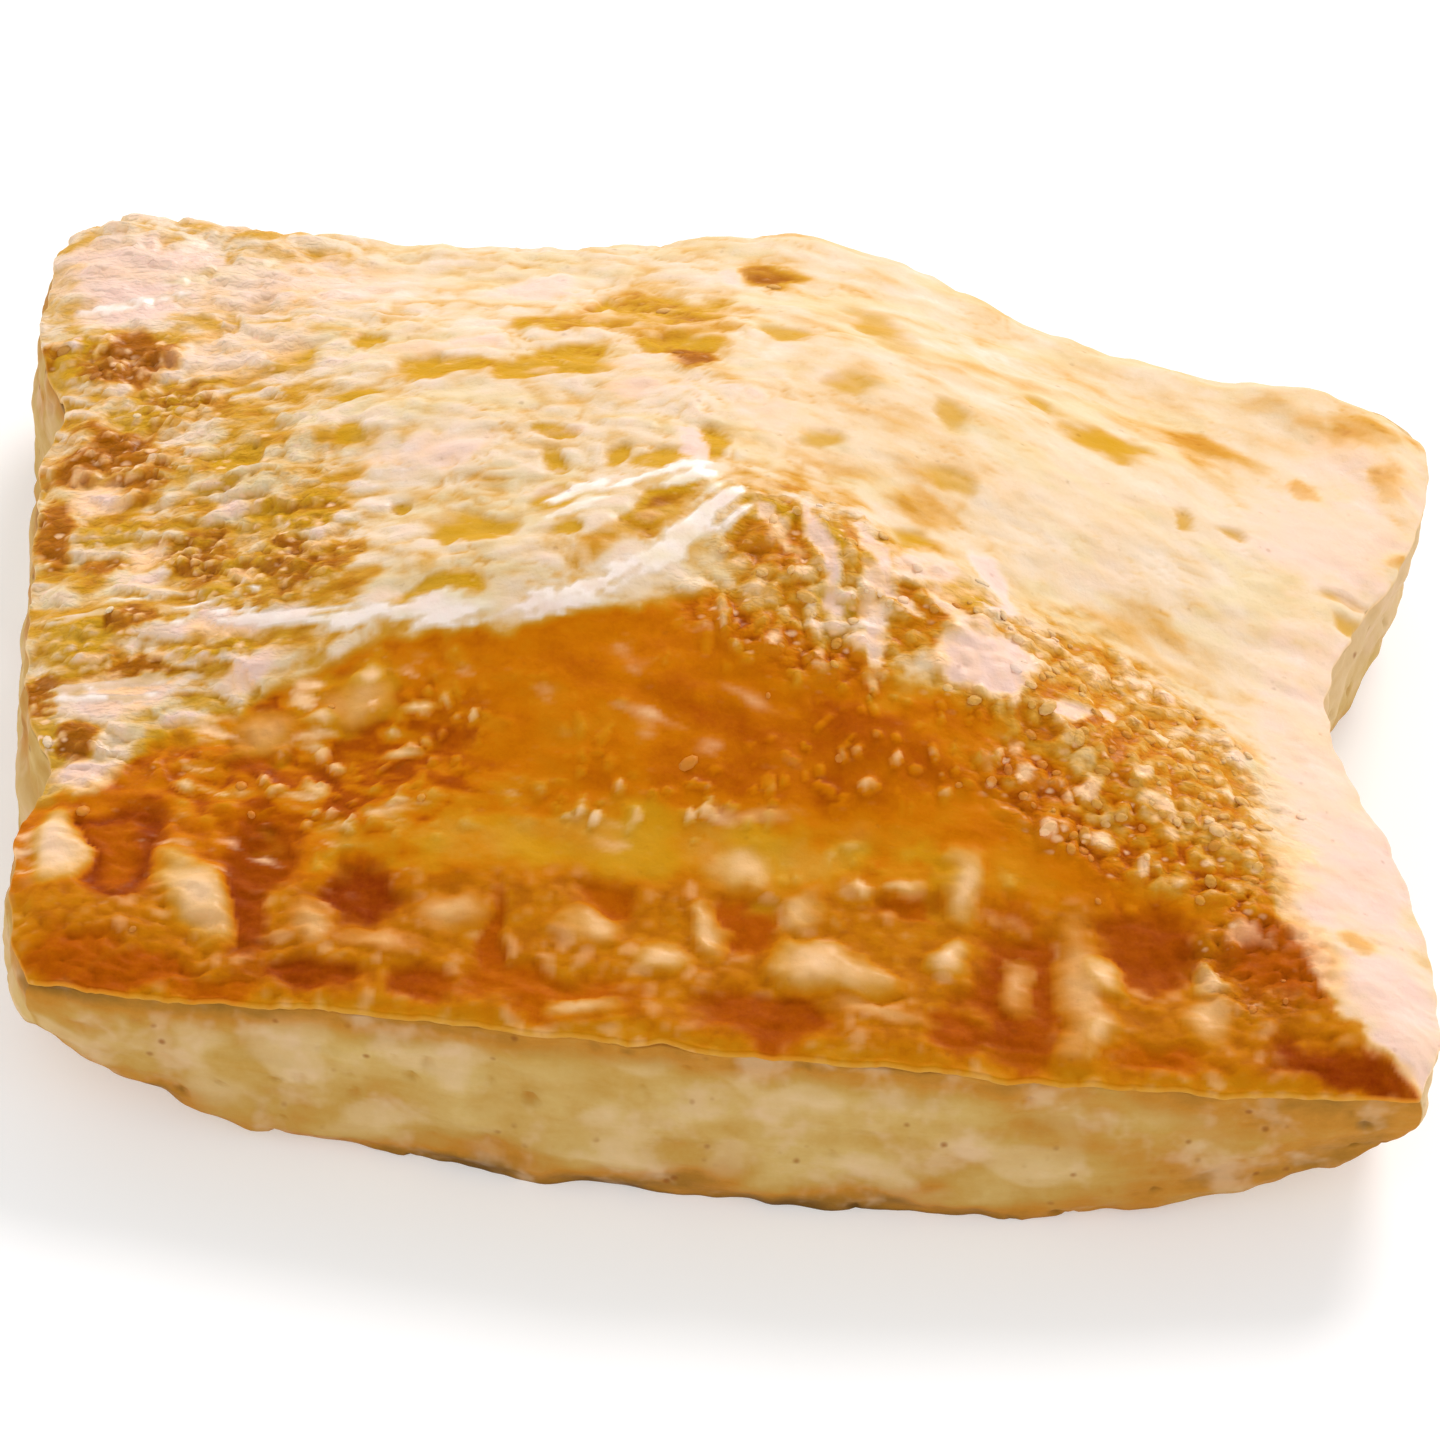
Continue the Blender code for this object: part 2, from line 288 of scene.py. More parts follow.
# Pinkish, shiny places, painted pale as painted highlights: middle, half sizes, turn, how sure.
PINK_HIGHLIGHTS = (
    (56, -31, 6, 13, 0, 0.95), (60, -46, 4, 8, 0, 0.9), (54, -12, 6, 14, 0, 0.6), (58, 26, 7, 8, 0, 0.5),
    (-56, 42, 4.6, 3.2, 10, 0.95), (-56, 48, 7, 4, 0, 0.8), (-58, 12, 2.6, 2.2, 0, 0.9), (-46, 6, 1.6, 1.3, 0, 0.8),
    (-53, 2, 2.2, 2.0, 0, 0.8), (-54, -2, 2.2, 1.2, 0, 0.8), (-47, -10, 3.6, 1.0, -5, 0.9),
    (-43, -15, 2.6, 1.3, 10, 0.9), (-55, -15.5, 4.4, 2.0, -8, 0.95), (-48, -20, 3.0, 1.0, 0, 0.9),
    (-57, -25, 3.4, 1.6, 0, 0.9), (-8, 16, 4.0, 1.4, 0, 0.7), (-19, 41, 4, 3, 0, 0.7), (-1, 46, 1.5, 3, 0, 0.7),
    (3, 13, 3.4, 3, 0, 0.6), (-40, 44, 12, 5, 0, 0.5), (55, 18, 8, 7, 0, 0.7), (-46, 32, 5, 4, 0, 0.5),
    (-27, 27, 5, 1.6, 0, 0.6), (-28, 8, 5, 2, 0, 0.5), (-9, 22, 3.0, 1.2, 0, 0.7),
)

# Sunken places of the pressed rim, coloured darker: middle, half sizes, turn, how dark.
DARK_MARKS = (
    (-54, -35, 2.4, 3.8, 5, 0.84),
    (-42.8, -40, 1.9, 7.0, 3, 0.95),
    (-41, -35.5, 2.6, 3.4, 0, 0.93),
    (-37, -49.8, 5.4, 1.9, -10, 0.95),
    (-32, -40.3, 4.0, 3.0, 0, 0.97),
    (-26.5, -50.4, 2.8, 1.9, 0, 0.92),
    (-58.5, -46.5, 4.6, 2.8, 0, 0.86),
    (-52.5, -49.2, 6.5, 1.9, 0, 0.88),
    (-45, -51, 4.0, 1.4, 0, 0.84),
    (-20.7, -46.5, 1.0, 5.5, 0, 0.86),
    (-16, -51.4, 8.5, 2.4, -6, 0.84),
    (-10, -41, 2.4, 1.9, 0, 0.84),
    (1.6, -43.6, 3.0, 2.8, 0, 0.87),
    (4, -53.2, 5.5, 2.9, 0, 0.91),
    (16.5, -41, 2.4, 1.0, 0, 0.84),
    (21, -53.4, 2.6, 3.0, 0, 0.90),
    (26.4, -48.4, 4.0, 8.2, 0, 0.92),
    (39, -54, 5.0, 1.6, 0, 0.84),
    (37.7, -42, 4.2, 4.4, 0, 0.92),
    (50, -42, 5.0, 4.5, -30, 0.86),
    (55.5, -53, 7.0, 2.4, -10, 0.97),
)
# Where the slope is dotted with beads: middle, half sizes, turn.
BEAD_PATCHES = (
    (3, -15, 8, 4, -20), (20, -21, 10, 6, -20), (-6, -32, 11, 3, 0), (-27, -24, 5, 5, 0), (12, -27, 10, 4, 0),
    (-36, -30, 8, 6, 0),
)
# A ring shaped mark: its path, half width and how dark.
RING_MARK = (
    ((-57.4, -31), (-54.4, -29.6), (-51.2, -31.4), (-50.8, -35), (-52, -39), (-54, -40), (-56, -38.6), (-57.4, -31)),
    1.1,
    0.97,
)

# Pale swollen lumps between them: middle, half sizes, turn, rise, how browned.
PALE_LUMPS = (
    (-60, -34, 2.6, 4.6, 0, 0.5, 0.26),
    (-47, -40.5, 2.4, 5.4, 20, 0.9, 0.34),
    (-37, -44, 2.2, 3.0, 15, 0.6, 0.60),
    (-24.5, -43.5, 2.6, 2.4, -20, 0.5, 0.58),
    (-31, -46, 4.0, 1.4, -10, 0.4, 0.66),
    (-12, -44.8, 2.6, 1.8, -10, 0.6, 0.50),
    (-5.5, -48, 2.4, 1.7, -20, 0.7, 0.42),
    (-1.6, -44.4, 1.5, 3.0, 15, 0.6, 0.46),
    (-12.5, -53, 2.8, 1.0, 0, 0.4, 0.52),
    (9, -48, 5.2, 2.5, -6, 1.1, 0.38),
    (6.5, -42, 1.9, 3.2, -30, 0.5, 0.52),
    (14, -52.2, 4.8, 1.1, -6, 0.4, 0.64),
    (21, -38.5, 1.7, 4.0, 8, 0.8, 0.44),
    (20.3, -46.3, 1.7, 2.1, 0, 0.9, 0.36),
    (26, -47.5, 1.2, 3.0, 0, 0.4, 0.68),
    (31.8, -48.5, 2.4, 8.5, 0, 0.6, 0.60),
    (34.4, -46, 2.0, 2.2, 0, 0.8, 0.38),
    (33.2, -52.4, 1.6, 2.6, 0, 0.4, 0.48),
    (43.2, -44.6, 1.4, 1.9, 0, 0.6, 0.40),
    (43, -49, 2.2, 2.8, 0, 0.5, 0.54),
    (1, -38, 3.2, 2.4, 0, 0.2, 0.48),
    (12.8, -39.6, 1.4, 0.8, 0, 0.4, 0.50),
    (16, -39, 1.5, 0.9, 0, 0.4, 0.50),
    (-42, -22, 3.2, 2.4, -10, 0.3, 0.68),
    (-33.5, -20.5, 3.8, 1.7, -8, 0.3, 0.66),
    (-37, -21.3, 1.6, 0.8, 0, 0.4, 0.38),
    (-33, -18.8, 1.6, 0.9, 0, 0.4, 0.36),
    (-28, -22, 1.4, 0.7, 0, 0.4, 0.40),
    (-30, -26, 1.7, 0.7, -10, 0.4, 0.46),
    (-37, -29, 1.4, 0.9, -20, 0.4, 0.42),
    (-48, -27, 1.1, 1.2, 0, 0.4, 0.38),
)

# Where the slope is more yellow: middle, half sizes, turn.
OCHRE_PATCHES = (
    (-8, -36, 24, 3.2, -2), (6, -40, 4, 3.4, 0), (19, -38.5, 1.7, 4.5, 8), (-2, -37.5, 8, 2.4, 0),
    (-34, -20, 5, 2.8, -5), (-43, -22, 4, 2.6, -10), (31.8, -48.5, 2.0, 6.0, 0), (43, -47.5, 2.0, 4.0, 0),
)

# Small dents whose bottoms are painted golden-olive as painted shade: middle, half sizes, turn.
SHADED_PITS = (
    (-61, 42, 2.0, 1.1, 0), (-44, 41, 1.5, 1.2, -10), (-34, 31, 2.0, 1.3, -15), (-41, 30, 2.0, 2.0, -10),
    (-35, 20, 3.2, 1.3, -10), (-35, 13, 1.5, 1.6, 0), (-46, 14, 2.8, 1.6, 0), (-47, 10.5, 1.4, 0.8, 0),
    (-24, -4, 4.2, 2.4, -10), (-31, 1, 0.8, 1.2, 20), (-47, 38, 0.8, 2.4, 25), (4, 30, 2.0, 2.2, 10),
    (13, 35, 2.2, 5.0, 20), (10, 20, 2.4, 1.6, 10), (7, 10, 1.4, 2.2, -20), (19, 8, 1.8, 1.6, 20),
    (-17, 9, 2.6, 1.1, 0), (-17, 5, 1.2, 1.4, 0), (-17, -1, 1.4, 2.4, 0), (-11, 5, 1.1, 1.4, 0),
    (-7, 4, 2.2, 1.6, 0), (-16, -6, 1.8, 1.2, 10), (2, -3, 2.4, 1.0, 0), (-30, 24, 1.6, 1.2, 0),
    (-13, 38, 1.0, 2.6, 0), (19, 19, 1.4, 2.0, 30), (20, -8.2, 2.4, 1.8, -20), (15.6, -2.7, 1.8, 1.5, -30),
    (28, 25.7, 1.1, 2.0, 30), (41.3, 14, 0.8, 1.5, 0), (45.6, 14.7, 1.2, 0.8, 0), (56.4, 10, 2.0, 0.8, 0),
    (56.5, 6.5, 1.3, 1.3, 0), (9, -12, 2.2, 1.2, -20),
)

# Golden patches, where the glaze ran together: middle, half sizes, turn.
GOLDEN_PATCHES = (
    (-26, 22.4, 4.4, 2.0, -8), (-20.5, 21.0, 2.6, 1.8, 0), (-16, 22.3, 3.4, 3.2, 0), (-6.5, 36.0, 4.8, 4.6, 0),
    (-15.5, 31.8, 5.0, 2.2, 5), (-6.5, 26.0, 3.8, 2.4, 0), (2.8, 46, 2.4, 2.8, 0), (-3, 6, 1.6, 3.6, 0),
    (-9, -5, 3.2, 1.4, 35), (-7, -2, 2.4, 1.2, 35), (8, -6, 1.2, 2.0, -10), (-60, 34, 2.6, 3.6, 20),
    (-56, 23, 2.2, 1.8, 0), (-57, 6, 2.6, 1.9, 0), (-40, 4, 4.6, 2.4, -15), (-52, 25, 3.0, 2.2, 0),
    (-42, -22, 3.6, 2.6, -10), (-34, -20, 3.8, 2.6, 0), (-50, -21.5, 3, 1.4, 10), (-41, -4, 5.6, 3.8, -15),
    (-27, -11.6, 4.0, 1.1, 5), (-47, -7, 1.2, 1.9, 0), (-59, -8, 3.0, 3.6, 0), (-46, -12.5, 4.2, 0.7, -5),
    (-61, -22, 2.0, 5.0, 0), (-49, 1, 2.4, 2.4, 0), (13, -6, 1.6, 2.6, -30), (3, -3, 2.6, 1.0, -20),
    (33.3, 22.4, 3.6, 2.8, 0),
)


def swell(place, centre, width):
    """A smooth rise to 1 at the centre."""
    return np.exp(-(((place - centre) / width) ** 2))


def limited(value):
    """The value, kept from 0 to 1."""
    return np.clip(value, 0.0, 1.0)


def blended(share, first, second):
    """Between first and second, by a share from 0 to 1."""
    return first + share * (second - first)


def ramp(value, low, high):
    """0 below low, 1 above high, smooth between."""
    share = limited((value - low) / (high - low))
    return share * share * (3.0 - 2.0 * share)


def stretch_distance(x, y, start, end):
    """Distance on the plan to the straight stretch from start to end."""
    run = np.array(end, float) - np.array(start, float)
    share = limited(((x - start[0]) * run[0] + (y - start[1]) * run[1]) / run.dot(run))
    return np.hypot(x - start[0] - share * run[0], y - start[1] - share * run[1])


def edge_line(start, end, out, bulge, swells, place):
    """Points of one edge of the rim, at places from 0 at its start to 1 at its end."""
    reach = bulge * np.sin(np.pi * place)
    for centre, width, height in swells:
        reach = reach + height * swell(place, centre, width)
    reach = reach * np.sin(np.pi * place) ** EDGE_END_CURVE
    return start + (end - start) * place[..., None] + np.array(out) * reach[..., None]


def plan(across, along):
    """Place on the plan, blended from the four edges of the rim."""
    corner = np.abs(across * along) ** CORNER_SHARPNESS
    across = across * (1.0 - CORNER_PULL * corner)
    along = along * (1.0 - CORNER_PULL * corner)
    s = (across + 1.0) / 2.0
    t = (along + 1.0) / 2.0
    front = edge_line(FRONT_LEFT, FRONT_RIGHT, (0.0, -1.0), FRONT_BULGE, FRONT_SWELLS, s)
    back = edge_line(BACK_LEFT, BACK_RIGHT, (0.0, 1.0), BACK_BULGE, BACK_SWELLS, s)
    left = edge_line(FRONT_LEFT, BACK_LEFT, (-1.0, 0.0), LEFT_BULGE, LEFT_SWELLS, t)
    right = edge_line(FRONT_RIGHT, BACK_RIGHT, (1.0, 0.0), RIGHT_BULGE, RIGHT_SWELLS, t)
    s = s[..., None]
    t = t[..., None]
    corners = (1 - s) * (1 - t) * FRONT_LEFT + s * (1 - t) * FRONT_RIGHT
    corners = corners + (1 - s) * t * BACK_LEFT + s * t * BACK_RIGHT
    return (1 - t) * front + t * back + (1 - s) * left + s * right - corners


def rim_height(across, along):
    """Height of the rim, carried on under the dome."""
    drop = RIM_CORNER_DROP * (across * along) ** 2
    return RIM_HEIGHT - drop + BACK_RIM_RISE * ramp(along, BACK_RIM_START, 1.0) * (1.0 - across**2)


def dome(across, along):
    """Share of the lid's rise: 0 on the rim and 1 at the summit."""
    side = across - SUMMIT[0]
    side = side / (1.0 - np.sign(side) * SUMMIT[0])
    deep = along - SUMMIT[1]
    deep = deep / (1.0 - np.sign(deep) * SUMMIT[1])
    power = DOME_SQUARENESS
    away = limited((np.abs(side) ** power + np.abs(deep) ** power) ** (1.0 / power))
    fullness = blended(ramp(along, *FULLNESS_SPAN), *DOME_FULLNESS)
    bell = 0.5 + 0.5 * np.cos(np.pi * away**fullness)
    return (1.0 - DOME_PEAK_SHARE) * bell + DOME_PEAK_SHARE * (1.0 - away)


def folds(across, along):
    """Rise of the soft folds that run down from the summit."""
    rise = 0.0
    for start, end, width, height in FOLDS:
        rise = np.maximum(rise, height * swell(stretch_distance(across, along, start, end), 0.0, width))
    return rise


def pads(across, along):
    """Rise of the thick pads in the corners."""
    rise = 0.0
    for centre, width, height in PADS:
        rise = rise + height * swell(np.hypot(across - centre[0], along - centre[1]), 0.0, width)
    return rise


def lip(across, along):
    """How far the lid's edge rolls down to meet the wall."""
    edge = np.maximum(np.abs(across), np.abs(along))
    return LIP * ramp(edge, LIP_START, 1.0) ** 2


def lid_height(across, along):
    """Height of the lid without its press marks and its small relief."""
    height = rim_height(across, along) + LID_RISE * dome(across, along)
    return height + folds(across, along) + pads(across, along) - lip(across, along)


def base_height(across, along):
    """Height of the underside: flat in the middle, with the corners lifted."""
    corner = np.abs(across * along) ** 3
    return CORNER_LIFT * limited((corner - FLAT_SHARE) / (1.0 - FLAT_SHARE)) ** LIFT_CURVE


def place_points(across, along, down):
    """Points of the plain pie, in millimetres."""
    corner = np.abs(across * along) ** 4
    right = RIGHT_TAPER * ramp(across, RIGHT_START, 1.0) * (1.0 - corner)
    taper = (BASE_TAPER + CORNER_TAPER * corner) * down**2 + right * down
    bulge = WALL_BULGE * np.sin(np.pi * down)
    flat = plan(across, along) * (1.0 + bulge - taper)[..., None] - PLAN_CENTRE
    height = (1.0 - down) * lid_height(across, along) + down * base_height(across, along)
    return np.concatenate([flat, height[..., None]], axis=-1)


def scatter_hash(x, y, seed):
    """An even scatter of numbers from 0 to 1, one for each whole x, y and seed."""
    mixed = x.astype(np.int64) * 374761393 + y.astype(np.int64) * 668265263 + seed * 2147483647
    mixed = (mixed ^ (mixed >> 13)) * 1274126177
    mixed = mixed ^ (mixed >> 16)
    return (mixed & 0xFFFFFF) / float(0x1000000)


def noise(x, y, seed, wrap=0):
    """Smooth noise from about -1 to 1, with a lump each whole step. With wrap, x repeats after that many steps."""
    left = np.floor(x)
    low = np.floor(y)
    total = 0.0
    for step_x in (0, 1):
        for step_y in (0, 1):
            corner_x = left + step_x
            corner_y = low + step_y
            key_x = corner_x % wrap if wrap else corner_x
            turn = scatter_hash(key_x, corner_y, seed) * 2.0 * np.pi
            away_x = x - corner_x
            away_y = y - corner_y
            fade = (1.0 - ramp(np.abs(away_x), 0.0, 1.0)) * (1.0 - ramp(np.abs(away_y), 0.0, 1.0))
            total = total + fade * (np.cos(turn) * away_x + np.sin(turn) * away_y)
    return total * NOISE_STRETCH


def layered_noise(x, y, seed, layers, wrap=0):
    """Noise with finer and weaker noise on top."""
    total = 0.0
    for layer in range(layers):
        scale = 2**layer
        total = total + noise(x * scale, y * scale, seed + layer, wrap * scale) / scale
    return total


def bubbles(x, y, step, seed, share, size, wrap=0):
    """Round bubbles, one at most for each square of a grid: 1 at the top of a bubble and 0 outside. share is how
    many squares have one, and size the smallest and largest radius in steps."""
    x = x / step
    y = y / step
    left = np.floor(x)
    low = np.floor(y)
    rise = np.zeros_like(x)
    for step_x in (-1, 0, 1):
        for step_y in (-1, 0, 1):
            cell_x = left + step_x
            cell_y = low + step_y
            key_x = cell_x % wrap if wrap else cell_x
            there = scatter_hash(key_x, cell_y, seed) < share
            radius = blended(scatter_hash(key_x, cell_y, seed + 1), *size)
            away_x = x - cell_x - scatter_hash(key_x, cell_y, seed + 2)
            away_y = y - cell_y - scatter_hash(key_x, cell_y, seed + 3)
            stretch = 0.75 + 0.5 * scatter_hash(key_x, cell_y, seed + 4)
            away = np.hypot(away_x * stretch, away_y / stretch) / radius
            bubble = np.sqrt(limited(1.0 - away**2)) * there * radius / size[1]
            rise = np.maximum(rise, bubble)
    return rise


def turned(x, y, degrees):
    """Coordinates along and across a direction on the plan."""
    turn = np.radians(degrees)
    return x * np.cos(turn) + y * np.sin(turn), y * np.cos(turn) - x * np.sin(turn)


def ellipse_share(x, y, shape):
    """0 in the middle of a turned ellipse and 1 on its line. A shape is middle x and y, half sizes and turn."""
    middle_x, middle_y, half_width, half_depth, turn = shape
    along_it, across_it = turned(x - middle_x, y - middle_y, turn)
    return np.hypot(along_it / half_width, across_it / half_depth)


def patch(x, y, shape, breakup, softness=PATCH_SOFTNESS):
    """1 inside a turned ellipse and 0 outside, with a torn, soft edge."""
    return 1.0 - ramp(ellipse_share(x, y, shape) + breakup, PATCH_REACH - softness, PATCH_REACH + softness)


def patches(x, y, shapes, breakup, softness=PATCH_SOFTNESS):
    """The strongest of several patches. A sixth value of a shape says how sure it is."""
    found = []
    for shape in shapes:
        sure = shape[5] if len(shape) > 5 else 1.0
        found.append(sure * patch(x, y, shape[:5], breakup, softness))
    return np.maximum.reduce(found)


def mound(x, y, shape, breakup):
    """A rounded lump: 1 at its top and 0 outside."""
    away = (ellipse_share(x, y, shape) + breakup) / MOUND_REACH
    return np.sqrt(limited(1.0 - away**2))


def path_distance(x, y, path):
    """Distance on the plan to a path of straight stretches."""
    return np.minimum.reduce([stretch_distance(x, y, start, end) for start, end in zip(path[:-1], path[1:])])


def add_object(name, data):
    """A new object of the scene, at its origin."""
    made = bpy.data.objects.new(name, data)
    bpy.context.scene.collection.objects.link(made)
    return made


def outward(points, axis):
    """Directions on the plan that point out of a closed line of points, which runs along an axis."""
    run = np.roll(points, -3, axis=axis) - np.roll(points, 3, axis=axis)
    out = np.stack([run[..., 1], -run[..., 0]], axis=-1)
    return out / np.linalg.norm(out, axis=-1, keepdims=True)


def mesh_object(name, points, faces, fields, material):
    """A plain mesh piece from points in millimetres, with its fields as attributes."""
    data = bpy.data.meshes.new(name)
    data.from_pydata((points * MM).tolist(), [], faces)
    for field, values in fields.items():
        attribute = data.attributes.new(field, "FLOAT", "POINT")
        attribute.data.foreach_set("value", np.asarray(values, np.float32))
    data.materials.append(material)
    data.shade_smooth()
    return add_object(name, data)


def border(count):
    """Grid places round a square of count faces, anticlockwise from its front left corner."""
    steps = np.arange(count)
    full = np.full(count, count)
    zero = np.zeros(count, int)
    first = np.concatenate([steps, full, count - steps, zero])
    second = np.concatenate([zero, steps, full, count - steps])
    return first, second


def ring_faces(rings):
    """Faces between closed rings of point numbers, each ring inside or under the one before."""
    faces = []
    for near, far in zip(rings[:-1], rings[1:]):
        faces += np.stack([near, far, np.roll(far, -1), np.roll(near, -1)], axis=1).tolist()
    return faces


def fan_faces(ring, centre):
    """Faces from a closed ring of point numbers to the point in its middle."""
    return np.stack([ring, np.full(len(ring), centre), np.roll(ring, -1)], axis=1).tolist()


def normals_of(points):
    """Outward directions of a grid of points, from its neighbours."""
    first = np.gradient(points, axis=0)
    second = np.gradient(points, axis=1)
    normal = np.cross(first, second)
    return normal / np.linalg.norm(normal, axis=-1, keepdims=True)


def crumple(x, y, seed):
    """Soft puffs with sharp creases between them: 0 in a crease."""
    return np.abs(noise(x, y, seed)) + 0.5 * np.abs(noise(2.0 * x, 2.0 * y, seed + 1))


def leaves(along_it, across_it, seed):
    """Overlapping leaves of pastry with raised front edges: their height, and 1 on the edges."""
    step = across_it + 0.8 * noise(along_it / 2.6, across_it / 2.0, seed)
    number = np.floor(step)
    share = step - number
    whole = ramp(noise(along_it / 1.6, number * 3.7, seed + 1), -0.25, 0.25)
    return (1.0 - share) * whole, swell(share, 0.14, 0.14) * whole


def zoned(x, y, zones, breakup, bake, uneven):
    """How browned and how uneven the lid is, with zones laid over each other in their order."""
    for *shape, brown, spread, sure in zones:
        mask = sure * patch(x, y, shape, breakup)
        bake = blended(mask, bake, brown)
        uneven = blended(mask, uneven, spread)
    return bake, uneven


def lid_browning(x, y, breakup, slope, pressed):
    """How browned the lid is, how much that changes from place to place, and where it is stained."""
    bake, uneven = zoned(x, y, FLAT_ZONES, breakup, *FLAT_REST)
    slope_bake, slope_uneven = zoned(x, y, SLOPE_ZONES, breakup, *SLOPE_REST)
    slope_bake = blended(pressed, slope_bake, RIM_REST[0])
    slope_uneven = blended(pressed, slope_uneven, RIM_REST[1])
    bake = blended(slope, bake, slope_bake)
    uneven = blended(slope, uneven, slope_uneven)
    stained = np.zeros_like(x)
    for *shape, brown, sure in BROWN_PATCHES:
        mask = sure * patch(x, y, shape, breakup)
        stained = np.maximum(stained, mask)
        bake = blended(mask, bake, brown)
        uneven = blended(0.6 * mask, uneven, STAIN_UNEVEN)
    return bake, uneven, stained


def lid_strands(x, y, warp_y, breakup):
    """Where the glaze shines in strands, which are painted pale as highlights, how high they stand, and how smooth
    the lid is round them.
    """
    shine = np.zeros_like(x)
    drawn_out = 0.0
    smoothed = 0.0
    for number, (path, width, rise, sure) in enumerate(STRANDS):
        heading = np.degrees(np.arctan2(path[-1][1] - path[0][1], path[-1][0] - path[0][0]))
        run, fall = turned(x, y, heading)
        streaks = noise(run / 6.0, fall / (0.35 + 0.4 * width), 79 + number) + 0.35 * noise(x / 1.2, y, 98)
        away = path_distance(x + 0.5 * breakup, 0.5 * (y + warp_y), path)
        strand = swell(away, 0.0, width) * sure
        shine = np.maximum(shine, ramp(strand + streaks, 0.30, 0.80) * ramp(strand, 0.05, 0.25))
        drawn_out = np.maximum(drawn_out, rise * swell(away, 0.0, 1.6 * width))
        smoothed = np.maximum(smoothed, sure * swell(away, 0.0, 2.0 * width))
    return shine, drawn_out, smoothed


def lid_parts(x, y, warp_x, warp_y, breakup, edge):
    """Where the parts of the lid are: the rolled edge, the browned slope, the pressed rim, the left side, the calm
    right side, where small blisters crowd, those of them on the right, and the still flat. edge is 1 on the rim."""
    below = np.interp(warp_x, *np.array(SLOPE_TOP, float).T) - warp_y
    slope = ramp(below + 1.8 * breakup, *SLOPE_BAND)
    pressed = slope * ramp(-warp_y, *PRESSED_BAND)
    left = 1.0 - ramp(warp_x, *LEFT_BAND)
    zone = patches(x, y, BLISTER_PATCHES, 0.5 * breakup) * (1.0 - 0.65 * left)
    still = (1.0 - slope) * (1.0 - zone) * (1.0 - left)
    right_zone = zone * ramp(warp_x, *RIGHT_ZONE_BAND)
    return ramp(edge, *EDGE_BAND), slope, pressed, left, ramp(warp_x, *CALM_BAND), zone, right_zone, still


def press_marks(x, y, breakup, at_edge, bake, relief):
    """Bake and relief with the rim's dark marks, its ring and its pale lumps, and where each of these is."""
    depth = np.zeros_like(x)
    for *shape, brown in DARK_MARKS:
        mask = patch(x, y, shape, 0.6 * breakup)
        bake = blended(0.95 * mask, bake, brown)
        depth = np.maximum(depth, mask)
    ring_path, ring_width, ring_brown = RING_MARK
    ring = 0.9 * swell(path_distance(x, y, ring_path), 0.0, ring_width)
    bake = blended(ring, bake, ring_brown)
    relief = relief - 0.55 * np.maximum(depth, ring) * (1.0 - at_edge)
    lumps = np.zeros_like(x)
    for *shape, rise, brown in PALE_LUMPS:
        top = mound(x, y, shape, 0.35 * breakup) * (1.0 - at_edge)
        cover = ramp(top, 0.0, 0.9)
        # Painted light: each lump is paler towards its top, and below its top is marked for a painted highlight and
        # lightened.
        bake = blended(0.9 * cover, bake, brown + 0.05 + 0.22 * (1.0 - top))
        depth = depth * (1.0 - cover)
        relief = relief + 0.8 * rise * top**1.5
        lumps = np.maximum(lumps, (1.0 - brown) * top**6)
        bake = bake * (1.0 - 0.5 * (1.0 - brown) * top**8)
    return bake, relief, depth, ring, lumps


